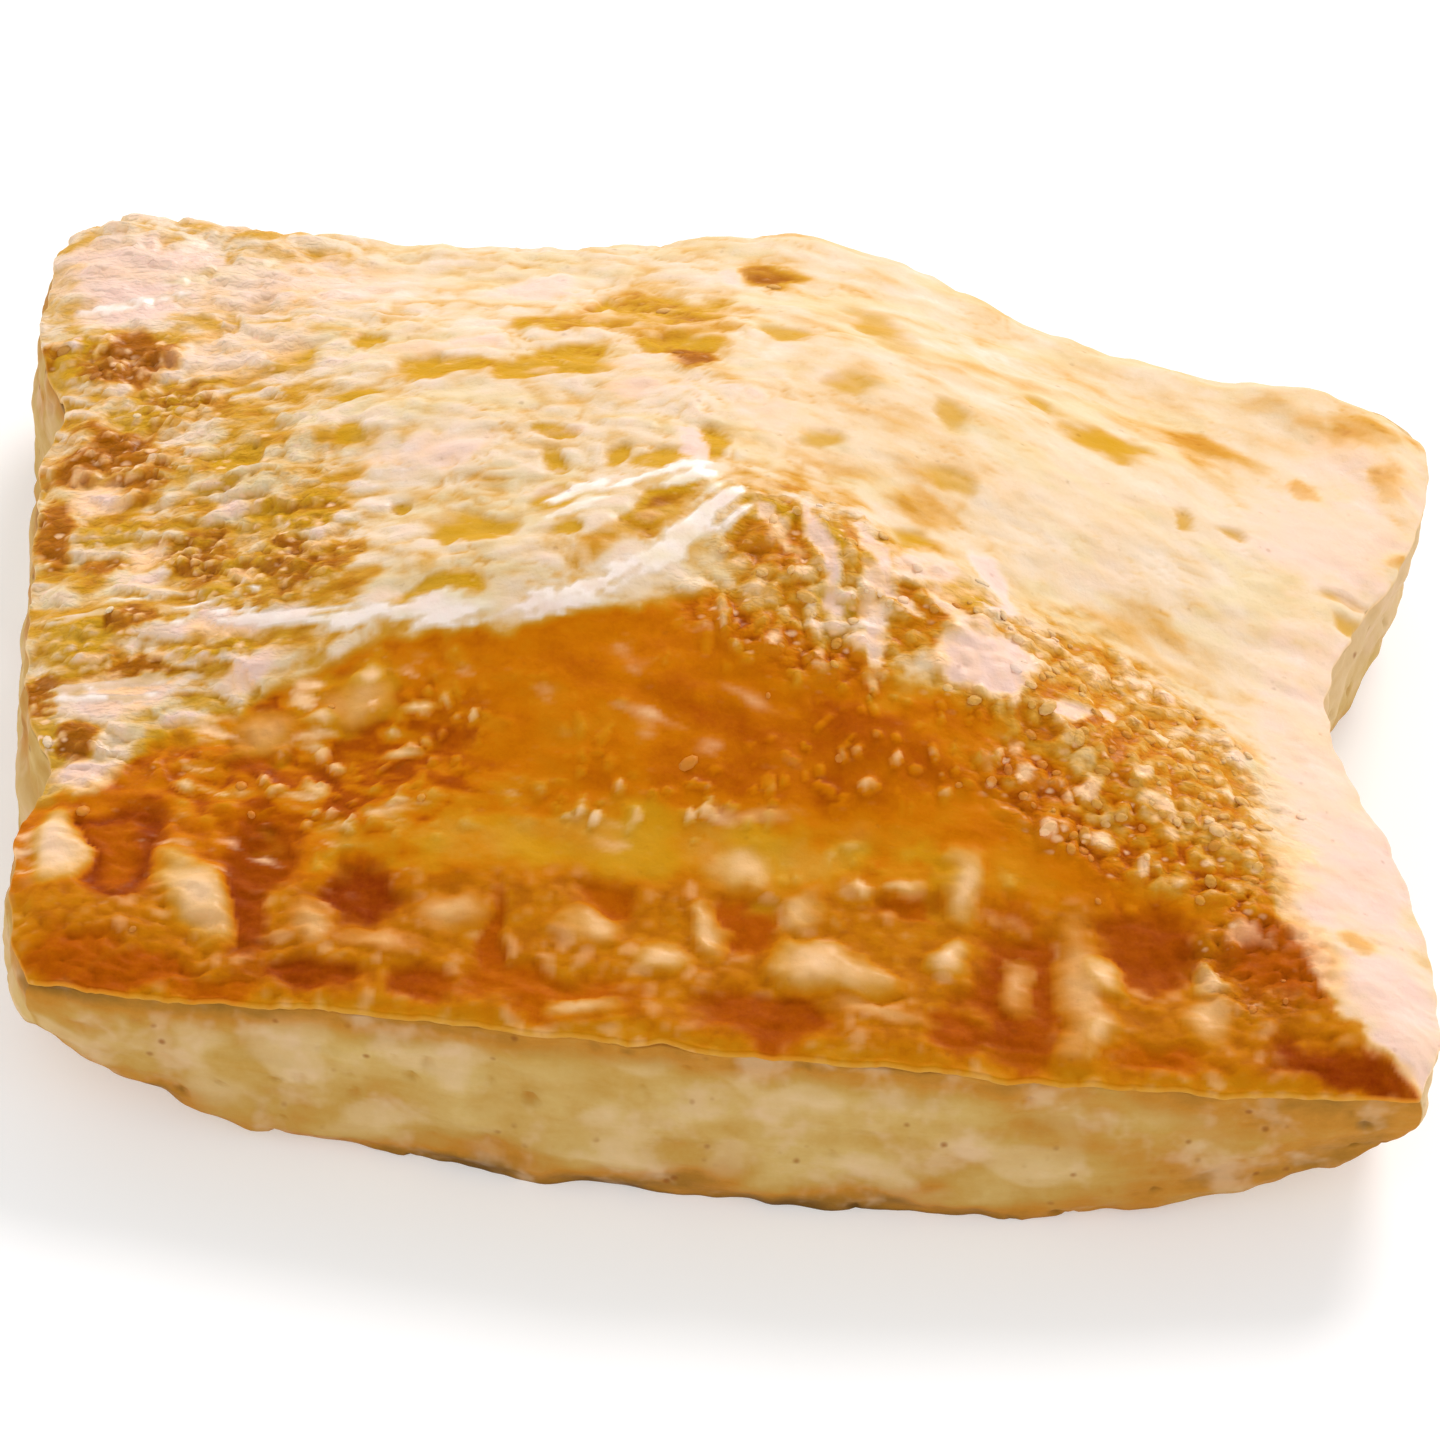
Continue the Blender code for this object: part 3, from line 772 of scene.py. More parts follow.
def lid_fields(x, y, across, along):
    """The lid's small relief in millimetres, and its fields, from how browned to how bubbly it is."""
    warp_x = x + WARP * layered_noise(x / WARP_STEP, y / WARP_STEP, 11, 4)
    warp_y = y + WARP * layered_noise(x / WARP_STEP, y / WARP_STEP, 23, 4)
    breakup = BREAKUP * layered_noise(x / 3.0, y / 2.4, 29, 3)
    parts = lid_parts(x, y, warp_x, warp_y, breakup, np.maximum(np.abs(across), np.abs(along)))
    at_edge, slope, pressed, left, calm, zone, right_zone, still = parts
    bake, uneven, stained = lid_browning(warp_x, warp_y, breakup, slope, pressed)

    golden = patches(warp_x, warp_y, GOLDEN_PATCHES, 0.8 * breakup, 0.28 + 0.25 * calm)
    clustered = limited(stained + 0.5 * golden) * left * (1.0 - slope)

    # Relief: soft waves, leaves, puffs and creases.
    run, fall = turned(x, y, LEAF_TURN)
    bend = 0.5 * noise(x / 5.0, y / 5.0, 63)
    flecks = layered_noise(run / 5.2, fall / 2.6, 61, 4)
    soft_flecks = layered_noise(run / 5.2, fall / 2.6, 61, 2)
    puffs = crumple(run / 3.6 + bend, fall / 2.2 + bend, 67)
    leaf, leaf_edge = leaves(run / 2.6, fall / 2.6, 73)
    rough = limited((0.55 - 0.30 * calm + 0.45 * left) * (1.0 - slope) + (0.15 + 0.35 * left) * slope)
    leafy = limited(0.25 + 0.75 * left) * (1.0 - 0.4 * calm) * (1.0 - 0.7 * slope)
    lobes = bubbles(warp_x, 1.3 * warp_y, *LID_BUBBLES["lobes"])
    streaky = layered_noise(run / 6.0, fall / 1.5, 85, 3)
    wrinkle = swell(noise(run / 4.5 + bend, fall / 1.7 + bend, 113), 0.0, 0.07)
    wrinkle = wrinkle * ramp(noise(x / 9.0, y / 7.0, 115), -0.1, 0.3) * (1.0 - slope) * (1.0 - 0.5 * calm)
    large = bubbles(warp_x, warp_y, *LID_BUBBLES["large"])
    small = bubbles(x, y, *LID_BUBBLES["small"])
    fine = bubbles(x, 1.2 * y, *LID_BUBBLES["fine"])
    beaded = np.maximum(patches(x, y, BEAD_PATCHES, breakup), 0.5 * ramp(noise(x / 8.0, y / 4.0, 99), 0.0, 0.35))
    sparse = bubbles(1.25 * warp_x, warp_y, *LID_BUBBLES["sparse"]) * beaded
    peaks = np.maximum(large, 0.8 * small)
    # Painted highlight: smooth pale streaks, where blisters and crinkles are left out.
    painted_streaks = patches(warp_x, warp_y, HIGHLIGHT_STREAKS, breakup, 0.3)
    crowd = limited(zone + 0.22 * left + 0.25 * pressed) * (1.0 - 0.8 * painted_streaks)

    relief = 0.40 * layered_noise(x / 11.0, y / 11.0, 51, 2)
    relief = relief + rough * (0.30 * flecks + 0.45 * puffs + (0.55 - 0.35 * left) * lobes) + 0.45 * leafy * leaf
    relief = relief + slope * 0.16 * layered_noise(x / 4.0, y / 3.0, 53, 2)
    relief = relief + crowd * (0.55 * large + 0.38 * small) + right_zone * 0.3 * crumple(x / 1.9, y / 1.9, 91)
    relief = relief + slope * (1.0 - pressed) * 0.6 * sparse - 0.12 * wrinkle + 0.45 * clustered * fine

    # Painted light and shade: raised puffs, leaves, lobes, bubbles and beads are painted paler as painted highlights,
    # and hollows, creases and wrinkles darker as painted shade.
    hills = (0.45 - puffs) * 1.8 + (0.25 - lobes) * (1.1 - 0.6 * left)
    pattern = 0.80 * blended(still, flecks, soft_flecks) + hills * (1.0 - calm)
    pattern = pattern + leafy * (0.5 - leaf - 0.8 * leaf_edge) + 0.8 * left * layered_noise(x / 6.5, y / 4.0, 101, 2)
    pattern = blended(zone, pattern, 1.05 - 2.1 * peaks + 0.3 * flecks)
    smooth_slope = 1.2 * layered_noise(x / 7.0, y / 4.5, 87, 2) + 0.3 * streaky
    lobed_slope = 0.9 * streaky + (0.4 - lobes) * 1.3
    slope_pattern = blended(ramp(warp_x, -30.0, -12.0), lobed_slope, smooth_slope)
    pattern = blended(slope * (1.0 - pressed) * (1.0 - zone), pattern, slope_pattern)
    pattern = blended(pressed, pattern, 0.5 - 1.2 * peaks + 0.6 * flecks)
    pattern = pattern + 0.8 * still * layered_noise(x / 7.0, y / 4.5, 103, 2)
    lightest = -1.8 + still + 0.7 * left * (1.0 - slope)
    bake = bake + uneven * np.clip(pattern, lightest, 1.6) - 0.26 * slope * (1.0 - pressed) * sparse
    bake = np.clip(bake + 0.16 * wrinkle, 0.15 * left * (1.0 - slope), 0.90 - 0.10 * right_zone)
    bake = bake - 0.12 * at_edge * pressed - 0.38 * clustered * ramp(fine, 0.40, 0.95)

    # Press marks of the rim, the pale lumps between them, and the pits of the flat, painted golden-olive as painted
    # shade.
    bake, relief, depth, ring, lumps = press_marks(warp_x, warp_y, breakup, at_edge, bake, relief)
    olive = np.zeros_like(x)
    for shape in SHADED_PITS:
        mask = patch(warp_x, warp_y, shape, 0.6 * breakup, 0.25 + 0.25 * calm)
        olive = np.maximum(olive, (0.95 - 0.15 * calm) * mask)
        relief = relief - 0.35 * mask
    olive = np.maximum(olive, 0.9 * golden * ramp(pattern, -1.8, -1.0))
    bake = bake + 0.18 * golden * still
    relief = relief - 0.25 * golden * still

    # The glaze, and the painted highlights: strands, pink patches, streaks and the tops of the relief are painted
    # pale.
    shine, drawn_out, smoothed = lid_strands(x, y, warp_y, breakup)
    relief = relief * (1.0 - 0.9 * smoothed) + drawn_out + 0.10 * shine
    # Painted highlight: the strands are painted near white.
    bake = bake * (1.0 - shine)
    # Painted highlights: the pink patches are painted pale and less browned.
    pale = patches(warp_x, warp_y, PINK_HIGHLIGHTS, breakup) * (1.0 - slope)
    pale = pale * (1.0 - 0.8 * golden * (1.0 - left)) * (1.0 - 0.8 * stained * calm)
    pale = np.maximum(pale, painted_streaks)
    bake = bake * (1.0 - 0.5 * pale * (1.0 - zone)) * (1.0 - 0.8 * painted_streaks)
    # Painted highlights on the tops of puffs, beads, bubbles and lumps, in the pale tip colour.
    tops = ramp(-pattern, 0.45 - 0.15 * right_zone, 1.3 - 0.3 * right_zone) * (1.0 - calm * (1.0 - zone))
    tops = tops * (1.0 - pressed) * (1.0 - 0.7 * still) * (1.0 - 0.40 * left * (1.0 - slope))
    tops = np.maximum(tops, 0.30 * pressed * ramp(peaks, 0.60, 1.00) * (1.0 - depth))
    tops = np.maximum(tops, 0.7 * slope * (1.0 - pressed) * ramp(sparse, 0.55, 1.0))
    tops = np.maximum(tops, 0.8 * clustered * ramp(fine, 0.65, 1.0))
    pale = np.maximum.reduce([pale, (0.85 + 0.15 * zone) * tops, 0.9 * lumps]) * (1.0 - 0.9 * shine)
    ochre = patches(warp_x, warp_y, OCHRE_PATCHES, breakup) * ramp(noise(x / 5.0, y / 3.0, 117), -0.5, 0.5)
    olive = np.maximum(olive * (1.0 - 0.6 * slope), 0.55 * ochre) * (1.0 - shine) * (1.0 - 0.7 * pale)
    # Painted shade: the hollows of the pattern are painted golden-olive.
    hollow = ramp(pattern, 0.35, 1.1) * (1.0 - slope) * (1.0 - 0.6 * calm)
    hollow = hollow * (1.0 - 0.7 * right_zone) * (1.0 - 0.7 * still)
    olive = np.maximum(olive, 0.7 * hollow * (1.0 - pale))
    over = limited(bake - 0.5) * (1.0 - slope) * (1.0 - 0.7 * right_zone)
    bake = bake - 0.5 * over
    bare_rim = pressed * (1.0 - depth) * (1.0 - ring) * (1.0 - limited(lumps))
    toast = np.maximum(limited(2.4 * over), 0.25 * bare_rim)
    olive = np.maximum(olive * (1.0 - 0.8 * toast), 0.20 * bare_rim)

    matt_front = np.maximum(depth, pressed * 0.6) * (1.0 - 0.8 * lumps)
    glaze = (0.06 + 0.12 * (1.0 - calm) + 0.10 * left) * (1.0 - 0.85 * slope)
    glaze = (glaze + 0.06 * zone + (0.25 - 0.10 * left) * tops) * (1.0 - 0.7 * np.maximum(olive, toast))
    glaze = limited(glaze + 0.9 * shine) * (1.0 - 0.85 * matt_front) + 0.35 * lumps
    # Where the shader paints glints: speckled places and crinkled zones, which also carry the fine bump.
    speckled = np.maximum(0.7 * toast * (1.0 - slope), 0.4 * golden) * (1.0 - pale) * (1.0 - 0.8 * calm)
    crinkled = 0.08 + 0.9 * zone + 0.8 * rough - 0.1 * slope - 0.8 * depth + 0.6 * speckled
    crinkled = limited(crinkled - 0.35 * still) * (1.0 - 0.9 * shine) * (1.0 - 0.7 * slope * (1.0 - zone))
    crinkled = crinkled * (1.0 - 0.8 * painted_streaks)
    bubbly = limited(0.5 * ramp(zone, 0.3, 0.9) * (0.2 + 0.8 * calm) + 0.1 * speckled + 0.02 * slope)
    bubbly = bubbly * (1.0 - at_edge) * (1.0 - 0.9 * pressed) * (1.0 - shine) * (1.0 - 0.8 * painted_streaks)
    fields = {"bake": limited(bake), "toast": toast, "olive": olive, "pale": pale, "glaze": glaze}
    fields.update(crinkle=crinkled, bubbly=bubbly)
    return relief, fields


def rippled(points, rim_points, share):
    """Points moved in and out on the plan by the ripple of the rim point they belong to."""
    flat = rim_points[..., :2]
    ripple = EDGE_RIPPLE * layered_noise(flat[..., 0] / 4.2, flat[..., 1] / 4.2, 191, 2) * share
    out = flat / np.linalg.norm(flat, axis=-1, keepdims=True)
    moved = points.copy()
    moved[..., :2] += out * ripple[..., None]
    return moved


def make_lid(material):
    """The lid: its top on a grid, its edge rolled over the case, and a flat inside under it."""
    place = np.linspace(-1.0, 1.0, LID_FACES + 1)
    rows_along = place + FRONT_CROWDING * (place**2 - 1.0)
    across, along = np.meshgrid(place, rows_along, indexing="ij")
    top = place_points(across, along, np.zeros_like(across))
    top = rippled(top, top, ramp(np.maximum(np.abs(across), np.abs(along)), RIPPLE_START, 1.0))
    relief, fields = lid_fields(top[..., 0], top[..., 1], across, along)
    points = top + normals_of(top) * relief[..., None]

    first, second = border(LID_FACES)
    rim = points[first, second]
    out = outward(rim, 0)
    rows = [points.reshape(-1, 3)]
    for reach, fall in EDGE_ROLL:
        row = rim.copy()
        row[:, :2] += out * reach
        row[:, 2] -= fall
        rows.append(row)
    rows.append(rows[-1].mean(axis=0)[None, :])

    side = LID_FACES + 1
    corner = (np.arange(LID_FACES)[:, None] * side + np.arange(LID_FACES)).ravel()
    faces = np.stack([corner, corner + side, corner + side + 1, corner + 1], axis=1).tolist()
    count = len(first)
    rings = [first * side + second]
    for ring in range(len(EDGE_ROLL)):
        rings.append(side * side + ring * count + np.arange(count))
    faces += ring_faces(rings) + fan_faces(rings[-1], side * side + len(EDGE_ROLL) * count)

    all_fields = {}
    for name, values in fields.items():
        rim_values = values[first, second]
        inner = EDGE_FIELDS[name]
        shares = [(row + 1) / len(EDGE_ROLL) for row in range(len(EDGE_ROLL))]
        rolled = [blended(share, rim_values, inner) for share in shares]
        all_fields[name] = np.concatenate([values.ravel(), *rolled, [inner]])
    return mesh_object("lid", np.concatenate(rows), faces, all_fields, material)


def wall_relief(round_mm, height, down):
    """Small relief of the risen side, in millimetres."""
    lumps = layered_noise(round_mm / 8.0, height / 5.0, 141, 3, 60)
    wave = height + 0.9 * noise(round_mm / 24.0, height / 9.0, 121, 20)
    layers = noise(round_mm / 16.0, wave / 1.3, 131, 30)
    relief = 0.55 * lumps + 0.10 * layers
    for line, depth in WALL_LINES:
        place = line + 0.7 * noise(round_mm / 30.0, np.full_like(height, line), 143, 16)
        patchy = ramp(noise(round_mm / 12.0, np.full_like(height, line), 145, 40), -0.1, 0.4)
        relief = relief - depth * patchy * swell(RIM_HEIGHT - height, place, 0.30)
    holes = bubbles(round_mm, height, *WALL_HOLES)
    holes = holes * ramp(noise(round_mm / 16.0, height / 7.0, 155, 30), -0.1, 0.3)
    relief = relief - 0.55 * holes
    torn = 0.7 * layered_noise(round_mm / 8.0, np.zeros_like(height), 153, 3, 60)
    low = ramp(down, 0.84, 1.0)
    return relief + low * (torn - 0.6 * low), lumps, holes


def case_browning(across, along, down, round_mm, height, lumps, holes):
    """How browned and how pale the wall is: browner at the front's ends, under the rim and on the left wall's top,
    darker towards the bottom and most in the front's middle, paler on its lumps as painted highlight and darker in
    its holes as painted shade."""
    front = (along < -GRID_END).astype(float)
    sides = 1.0 - front
    right = ((across > GRID_END) & (along > -GRID_END)).astype(float)
    left = sides * (across < -GRID_END)
    middle = (1.0 - ramp(np.abs(across + 0.05), 0.25, 0.7)) * front
    blotch = layered_noise(round_mm / 9.0, height / 4.0, 161, 3, 53)
    golden_end = ramp(across, 0.25, 0.75) * front
    # Painted light: the wall's raised lumps are painted paler and its holes darker, as painted highlight and shade.
    bake = 0.30 - 0.08 * lumps + 0.12 * blotch + 0.12 * np.abs(across) ** 3 * front + 0.25 * golden_end + 0.20 * holes
    edge_glow = 1.0 - ramp(down + 0.05 * blotch, 0.05, 0.14 + 0.12 * front)
    bake = bake + (0.10 + 0.26 * front) * edge_glow * (1.0 - 0.9 * golden_end)
    # Darker towards the bottom, most in the front's middle.
    low_darkening = ramp(down + 0.06 * blotch, 0.70, 0.98) * (1.0 - 0.8 * golden_end)
    bake = bake + (0.22 + 0.40 * middle) * low_darkening + 0.08 * ramp(-across, 0.4, 0.8) * front
    pale = 0.55 * ramp(layered_noise(round_mm / 7.0, height / 5.0, 163, 2, 69), 0.05, 0.5)
    pale = pale * (1.0 - edge_glow) * (1.0 - ramp(down, 0.7, 0.95)) * (1.0 - 0.8 * golden_end)
    pale = np.maximum(pale, sides * (0.5 + 0.4 * right) * (1.0 - ramp(down, 0.25, 0.8)))
    browned_side = left * (1.0 - ramp(down + 0.1 * blotch, 0.25, 0.60))
    pale = pale * (1.0 - 0.8 * browned_side)
    bake = bake - 0.22 * pale + browned_side * (0.22 + 0.25 * blotch)
    return bake, pale


def underside(across, along, rim_shift):
    """Rings of the underside that shrink to its middle, dimpled, and how browned and how pale they are."""
    rings, bakes, pales = [], [], []
    for share in np.linspace(1.0, 0.0, BASE_RINGS + 1)[1:-1]:
        ring = place_points(across * share, along * share, np.ones(CASE_PARTS))
        ring[:, :2] += rim_shift * float(ramp(share, 0.90, 1.0))
        x, y = ring[:, 0], ring[:, 1]
        inside = float(1.0 - ramp(share, 0.96, 1.0))
        ring[:, 2] += BASE_LIFT + inside * BASE_DIMPLES * (layered_noise(x / 7.0, y / 7.0, 171, 3) + 1.2)
        rings.append(ring)
        bakes.append(BASE_BAKE + 0.18 * layered_noise(x / 9.0, y / 9.0, 181, 4) - 0.08 * (1.0 - inside))
        pales.append(0.3 * ramp(layered_noise(x / 12.0, y / 12.0, 185, 3), 0.1, 0.6))
    return rings, bakes, pales


def make_case(material):
    """The case: the risen side wall, closed on top under the lid and below by the underside."""
    count = CASE_PARTS // 4
    first, second = border(count)
    across = first / count * 2.0 - 1.0
    along = second / count * 2.0 - 1.0
    down = np.linspace(CASE_TOP, 1.0, WALL_ROWS)[:, None] + np.zeros(CASE_PARTS)
    wall = np.stack([place_points(across, along, row) for row in down])
    rim = place_points(across, along, np.zeros(CASE_PARTS)) + np.zeros_like(wall)
    wall = rippled(wall, rim, 1.0 - ramp(down, 0.0, 0.5))
    out = outward(wall, 1)
    round_mm = np.arange(CASE_PARTS) / CASE_PARTS * ROUND_LENGTH + np.zeros_like(down)
    height = wall[..., 2]
    relief, lumps, holes = wall_relief(round_mm, height, down)
    fade = ramp(down, CASE_TOP, CASE_TOP + TUCKED_SHARE)
    under_rim = rippled(rim, rim, 1.0)[..., :2] - wall[..., :2]
    wall[..., :2] += under_rim * (1.0 - fade)[..., None]
    wall[..., :2] += out * (relief * fade + TUCKED_REACH * (1.0 - fade))[..., None]

    bake, pale = case_browning(across, along, down, round_mm, height, lumps, holes)
    rim_shift = (wall[-1] - place_points(across, along, np.ones(CASE_PARTS)))[:, :2]
    under, under_bakes, under_pales = underside(across, along, rim_shift)

    centres = [under[-1].mean(axis=0)[None, :], wall[0].mean(axis=0)[None, :]]
    points = np.concatenate([wall.reshape(-1, 3), *under, *centres])
    bakes = np.concatenate([bake.ravel(), *under_bakes, [BASE_BAKE, HIDDEN_BAKE]])
    pales = np.concatenate([pale.ravel(), *under_pales, np.zeros(2)])
    ring_total = WALL_ROWS + len(under)
    rings = [ring * CASE_PARTS + np.arange(CASE_PARTS) for ring in range(ring_total)]
    low_centre = ring_total * CASE_PARTS
    faces = ring_faces(rings) + fan_faces(rings[-1], low_centre)
    faces += [face[::-1] for face in fan_faces(rings[0], low_centre + 1)]
    points[:, 2] = np.maximum(points[:, 2], 0.0)
    fields = {"bake": limited(bakes), "pale": limited(pales)}
    return mesh_object("case", points, faces, fields, material)


def named(tree, name):
    """A field of the surface that the bubbles stand on."""
    return tree.node("GeometryNodeInputNamedAttribute", {"data_type": "FLOAT"}, {"Name": name}, "Attribute")


def scattered(tree, low, high, seed):
    """A number between low and high, its own for each bubble."""
    return tree.node("FunctionNodeRandomValue", {"data_type": "FLOAT"}, {2: low, 3: high, "Seed": seed}, 1)


def blister_tree(material):
    """Geometry Nodes: small flattened bubbles all over a surface, as crowded as its field bubbly says."""
    group = bpy.data.node_groups.new("blister_crowd", "GeometryNodeTree")
    sizes = {}
    group.interface.new_socket("Surface", in_out="INPUT", socket_type="NodeSocketGeometry")
    for name, value in BLISTER_SIZES.items():
        kind = "NodeSocketInt" if isinstance(value, int) else "NodeSocketFloat"
        sizes[name] = group.interface.new_socket(name, in_out="INPUT", socket_type=kind).identifier
    group.interface.new_socket("Blisters", in_out="OUTPUT", socket_type="NodeSocketGeometry")
    tree = Tree(group)
    given = group.nodes.new("NodeGroupInput")
    taken = {socket.name: Value(tree, socket) for socket in given.outputs if socket.name}
    crowd = {
        "Mesh": taken["Surface"],
        "Distance Min": taken["Least distance"],
        "Density Max": taken["Most in a square metre"],
        "Density Factor": named(tree, "bubbly"),
        "Seed": taken["Seed"],
    }
    points = tree.node("GeometryNodeDistributePointsOnFaces", {"distribute_method": "POISSON"}, crowd, "Points")
    upright = Value(tree, points.socket.node.outputs["Rotation"])
    # The blisters carry the lid's fields, a little paler, with pale raised as a painted highlight.
    blister_fields_and_highlight = {"bake": named(tree, "bake") * 0.9, "pale": named(tree, "pale") * 0.7 + 0.08, "glaze": 0.1, "olive": 0.0}
    for name, value in blister_fields_and_highlight.items():
        stored = {"Geometry": points, "Name": name, "Value": value}
        points = tree.node("GeometryNodeStoreNamedAttribute", {"data_type": "FLOAT", "domain": "POINT"}, stored)
    radius = scattered(tree, taken["Smallest radius"], taken["Largest radius"], taken["Seed"])
    stretch = scattered(tree, *BLISTER_STRETCH, STRETCH_SEED)
    turn = tree.node("ShaderNodeCombineXYZ", {}, {"Z": scattered(tree, 0.0, np.pi, TURN_SEED)})
    turn = tree.node("FunctionNodeEulerToRotation", {}, {"Euler": turn})
    turned_up = {"Rotation": upright, "Rotate By": turn}
    upright = tree.node("FunctionNodeRotateRotation", {"rotation_space": "LOCAL"}, turned_up)
    size = {"X": radius * stretch, "Y": radius, "Z": radius * taken["Height share"]}
    scale = tree.node("ShaderNodeCombineXYZ", {}, size)
    ball = tree.node("GeometryNodeMeshUVSphere", {}, BLISTER_BALL, "Mesh")
    stood = {"Points": points, "Instance": ball, "Rotation": upright, "Scale": scale}
    placed = tree.node("GeometryNodeInstanceOnPoints", {}, stood)
    sunk = tree.node("ShaderNodeCombineXYZ", {}, {"Z": 0.0 - radius * taken["Sunk share"]})
    lowered = {"Instances": placed, "Translation": sunk, "Local Space": True}
    placed = tree.node("GeometryNodeTranslateInstances", {}, lowered)
    real = tree.node("GeometryNodeRealizeInstances", {}, {"Geometry": placed})
    smooth = tree.node("GeometryNodeSetShadeSmooth", {}, {"Geometry": real})
    finished = tree.node("GeometryNodeSetMaterial", {}, {"Geometry": smooth, "Material": material})
    group.links.new(finished.socket, group.nodes.new("NodeGroupOutput").inputs["Blisters"])
    return group, sizes


def make_blisters(surface, material):
    """The many small bubbles that stand on the lid, as one plain mesh."""
    group, sizes = blister_tree(material)
    helper = add_object("blister_helper", surface.data)
    modifier = helper.modifiers.new("blisters", "NODES")
    modifier.node_group = group
    for name, value in BLISTER_SIZES.items():
        modifier[sizes[name]] = value
    view = bpy.context.evaluated_depsgraph_get()
    data = bpy.data.meshes.new_from_object(helper.evaluated_get(view))
    helper.modifiers.remove(modifier)
    bpy.data.objects.remove(helper)
    data.name = "blisters"
    return add_object("blisters", data)


class Value:
    """A socket's value, which can be used in sums."""

    def __init__(self, tree, socket):
        self.tree = tree
        self.socket = socket

    def maths(self, operation, *values):
        return self.tree.node("ShaderNodeMath", {"operation": operation}, dict(enumerate(values)))

    def __add__(self, other):
        return self.maths("ADD", self, other)

    def __sub__(self, other):
        return self.maths("SUBTRACT", self, other)

    def __rsub__(self, other):
        return self.maths("SUBTRACT", other, self)

    def __mul__(self, other):
        return self.maths("MULTIPLY", self, other)

    def __truediv__(self, other):
        return self.maths("DIVIDE", self, other)

    __radd__ = __add__
    __rmul__ = __mul__

    def size(self):
        return self.maths("ABSOLUTE", self)

    def limited(self):
        return self.tree.node("ShaderNodeClamp", {}, {"Value": self})

    def between(self, low, high):
        """0 at low and 1 at high, smooth between."""
        span = {"Value": self, "From Min": low, "From Max": high}
        return self.tree.node("ShaderNodeMapRange", {"interpolation_type": "SMOOTHSTEP"}, span)


class Tree:
    """A node tree that is filled by one method."""

    def __init__(self, nodes):
        self.nodes = nodes

    def node(self, kind, settings, values, output=0):
        made = self.nodes.nodes.new(kind)
        for name, value in settings.items():
            if name == "stops":
                self.set_stops(made.color_ramp, value)
            else:
                setattr(made, name, value)
        for name, value in values.items():
            socket = made.inputs[name]
            if isinstance(value, Value):
                self.nodes.links.new(value.socket, socket)
            else:
                socket.default_value = value
        return Value(self, made.outputs[output]) if made.outputs else made

    @staticmethod
    def set_stops(ramp_of, stops):
        while len(ramp_of.elements) < len(stops):
            ramp_of.elements.new(1.0)
        for element, (place, colour) in zip(ramp_of.elements, stops):
            element.position = place
            element.color = colour

    def field(self, name):
        """A field of the piece that wears the material."""
        return self.node("ShaderNodeAttribute", {"attribute_name": name}, {}, "Fac")

    def noise(self, place, fineness, detail):
        """Soft noise round 0.5."""
        values = {"Vector": place, "Scale": fineness, "Detail": detail, "Roughness": 0.6}
        return self.node("ShaderNodeTexNoise", {}, values)

    def cells(self, place, fineness):
        """Distance to the nearest of scattered points, in cells."""
        return self.node("ShaderNodeTexVoronoi", {"feature": "F1"}, {"Vector": place, "Scale": fineness})

    def blend(self, share, first, second):
        """Colour between two colours."""
        settings = {"data_type": "RGBA", "clamp_factor": True}
        return self.node("ShaderNodeMix", settings, {0: share, 6: first, 7: second}, 2)


def linear(red, green, blue):
    """A colour given by its screen values from 0 to 255."""
    share = np.array([red, green, blue]) / 255.0
    value = np.where(share <= 0.04045, share / 12.92, ((share + 0.055) / 1.055) ** 2.4)
    return (*value.tolist(), 1.0)


# Pastry colours, from raw to dark brown: those of the glazed lid, and those of the dry case.
LID_COLOURS = (
    # The first stop, near white, is where the painted highlights of the strands end.
    (0.00, linear(255, 238, 226)),
    (0.12, linear(233, 210, 183)),
    (0.25, linear(227, 196, 153)),
    (0.38, linear(220, 172, 104)),
    (0.50, linear(208, 148, 48)),
    (0.62, linear(206, 130, 12)),
    (0.74, linear(203, 114, 0)),
    (0.86, linear(176, 84, 0)),
    (1.00, linear(130, 44, 0)),
)
CASE_COLOURS = (
    (0.00, linear(214, 184, 132)),
    (0.22, linear(198, 164, 96)),
    (0.42, linear(187, 145, 68)),
    (0.62, linear(184, 124, 38)),
    (0.82, linear(148, 102, 28)),
    (1.00, linear(110, 74, 20)),
)
OLIVE = linear(205, 152, 20)
# PINK and PEACH are the tip colours of painted highlights and glints.
PINK = linear(237, 201, 184)
PEACH = linear(255, 206, 156)
STRAW = linear(222, 202, 140)
TOASTED = linear(158, 90, 4)
# BURNT_AND_PORE_SHADE is the burnt flecks of the lid and also the painted shade in the case's pores.
BURNT_AND_PORE_SHADE = linear(140, 80, 18)
FLOURY = linear(214, 180, 140)


# Fineness of the patterns, in lumps or cells for each metre.
MOTTLE = {"lid": 420.0, "case": 210.0}
GRAIN = {"lid": 1500.0, "case": 1300.0}
CREASES = (560.0, 1250.0)
SALLOW = 105.0
BLUSH = 150.0
FLECKS = 620.0
GLINTS = 800.0
GLINT_GROUPS = 260.0
LAYERS = 520.0
PORES = 480.0
PORE_GROUPS = 120.0
FLOUR = 170.0

# The lid's creases are drawn out and turned, and the case's layers lie flat.
DRAWN_OUT = {"Rotation": (0.0, 0.0, 0.26), "Scale": (0.75, 1.35, 1.0)}
FLATTENED = (0.35, 0.35, 2.2)

BUMP_DEPTH = 0.0006
# A little light passes under the crust of both pastries.
CRUMB_GLOW = {"Subsurface Weight": 0.06, "Subsurface Radius": (0.004, 0.002, 0.001), "Subsurface Scale": 1.0}


def empty_tree(owner):
    """The emptied node tree of a new material or world."""
    owner.use_nodes = True
    owner.node_tree.nodes.clear()
    return Tree(owner.node_tree)


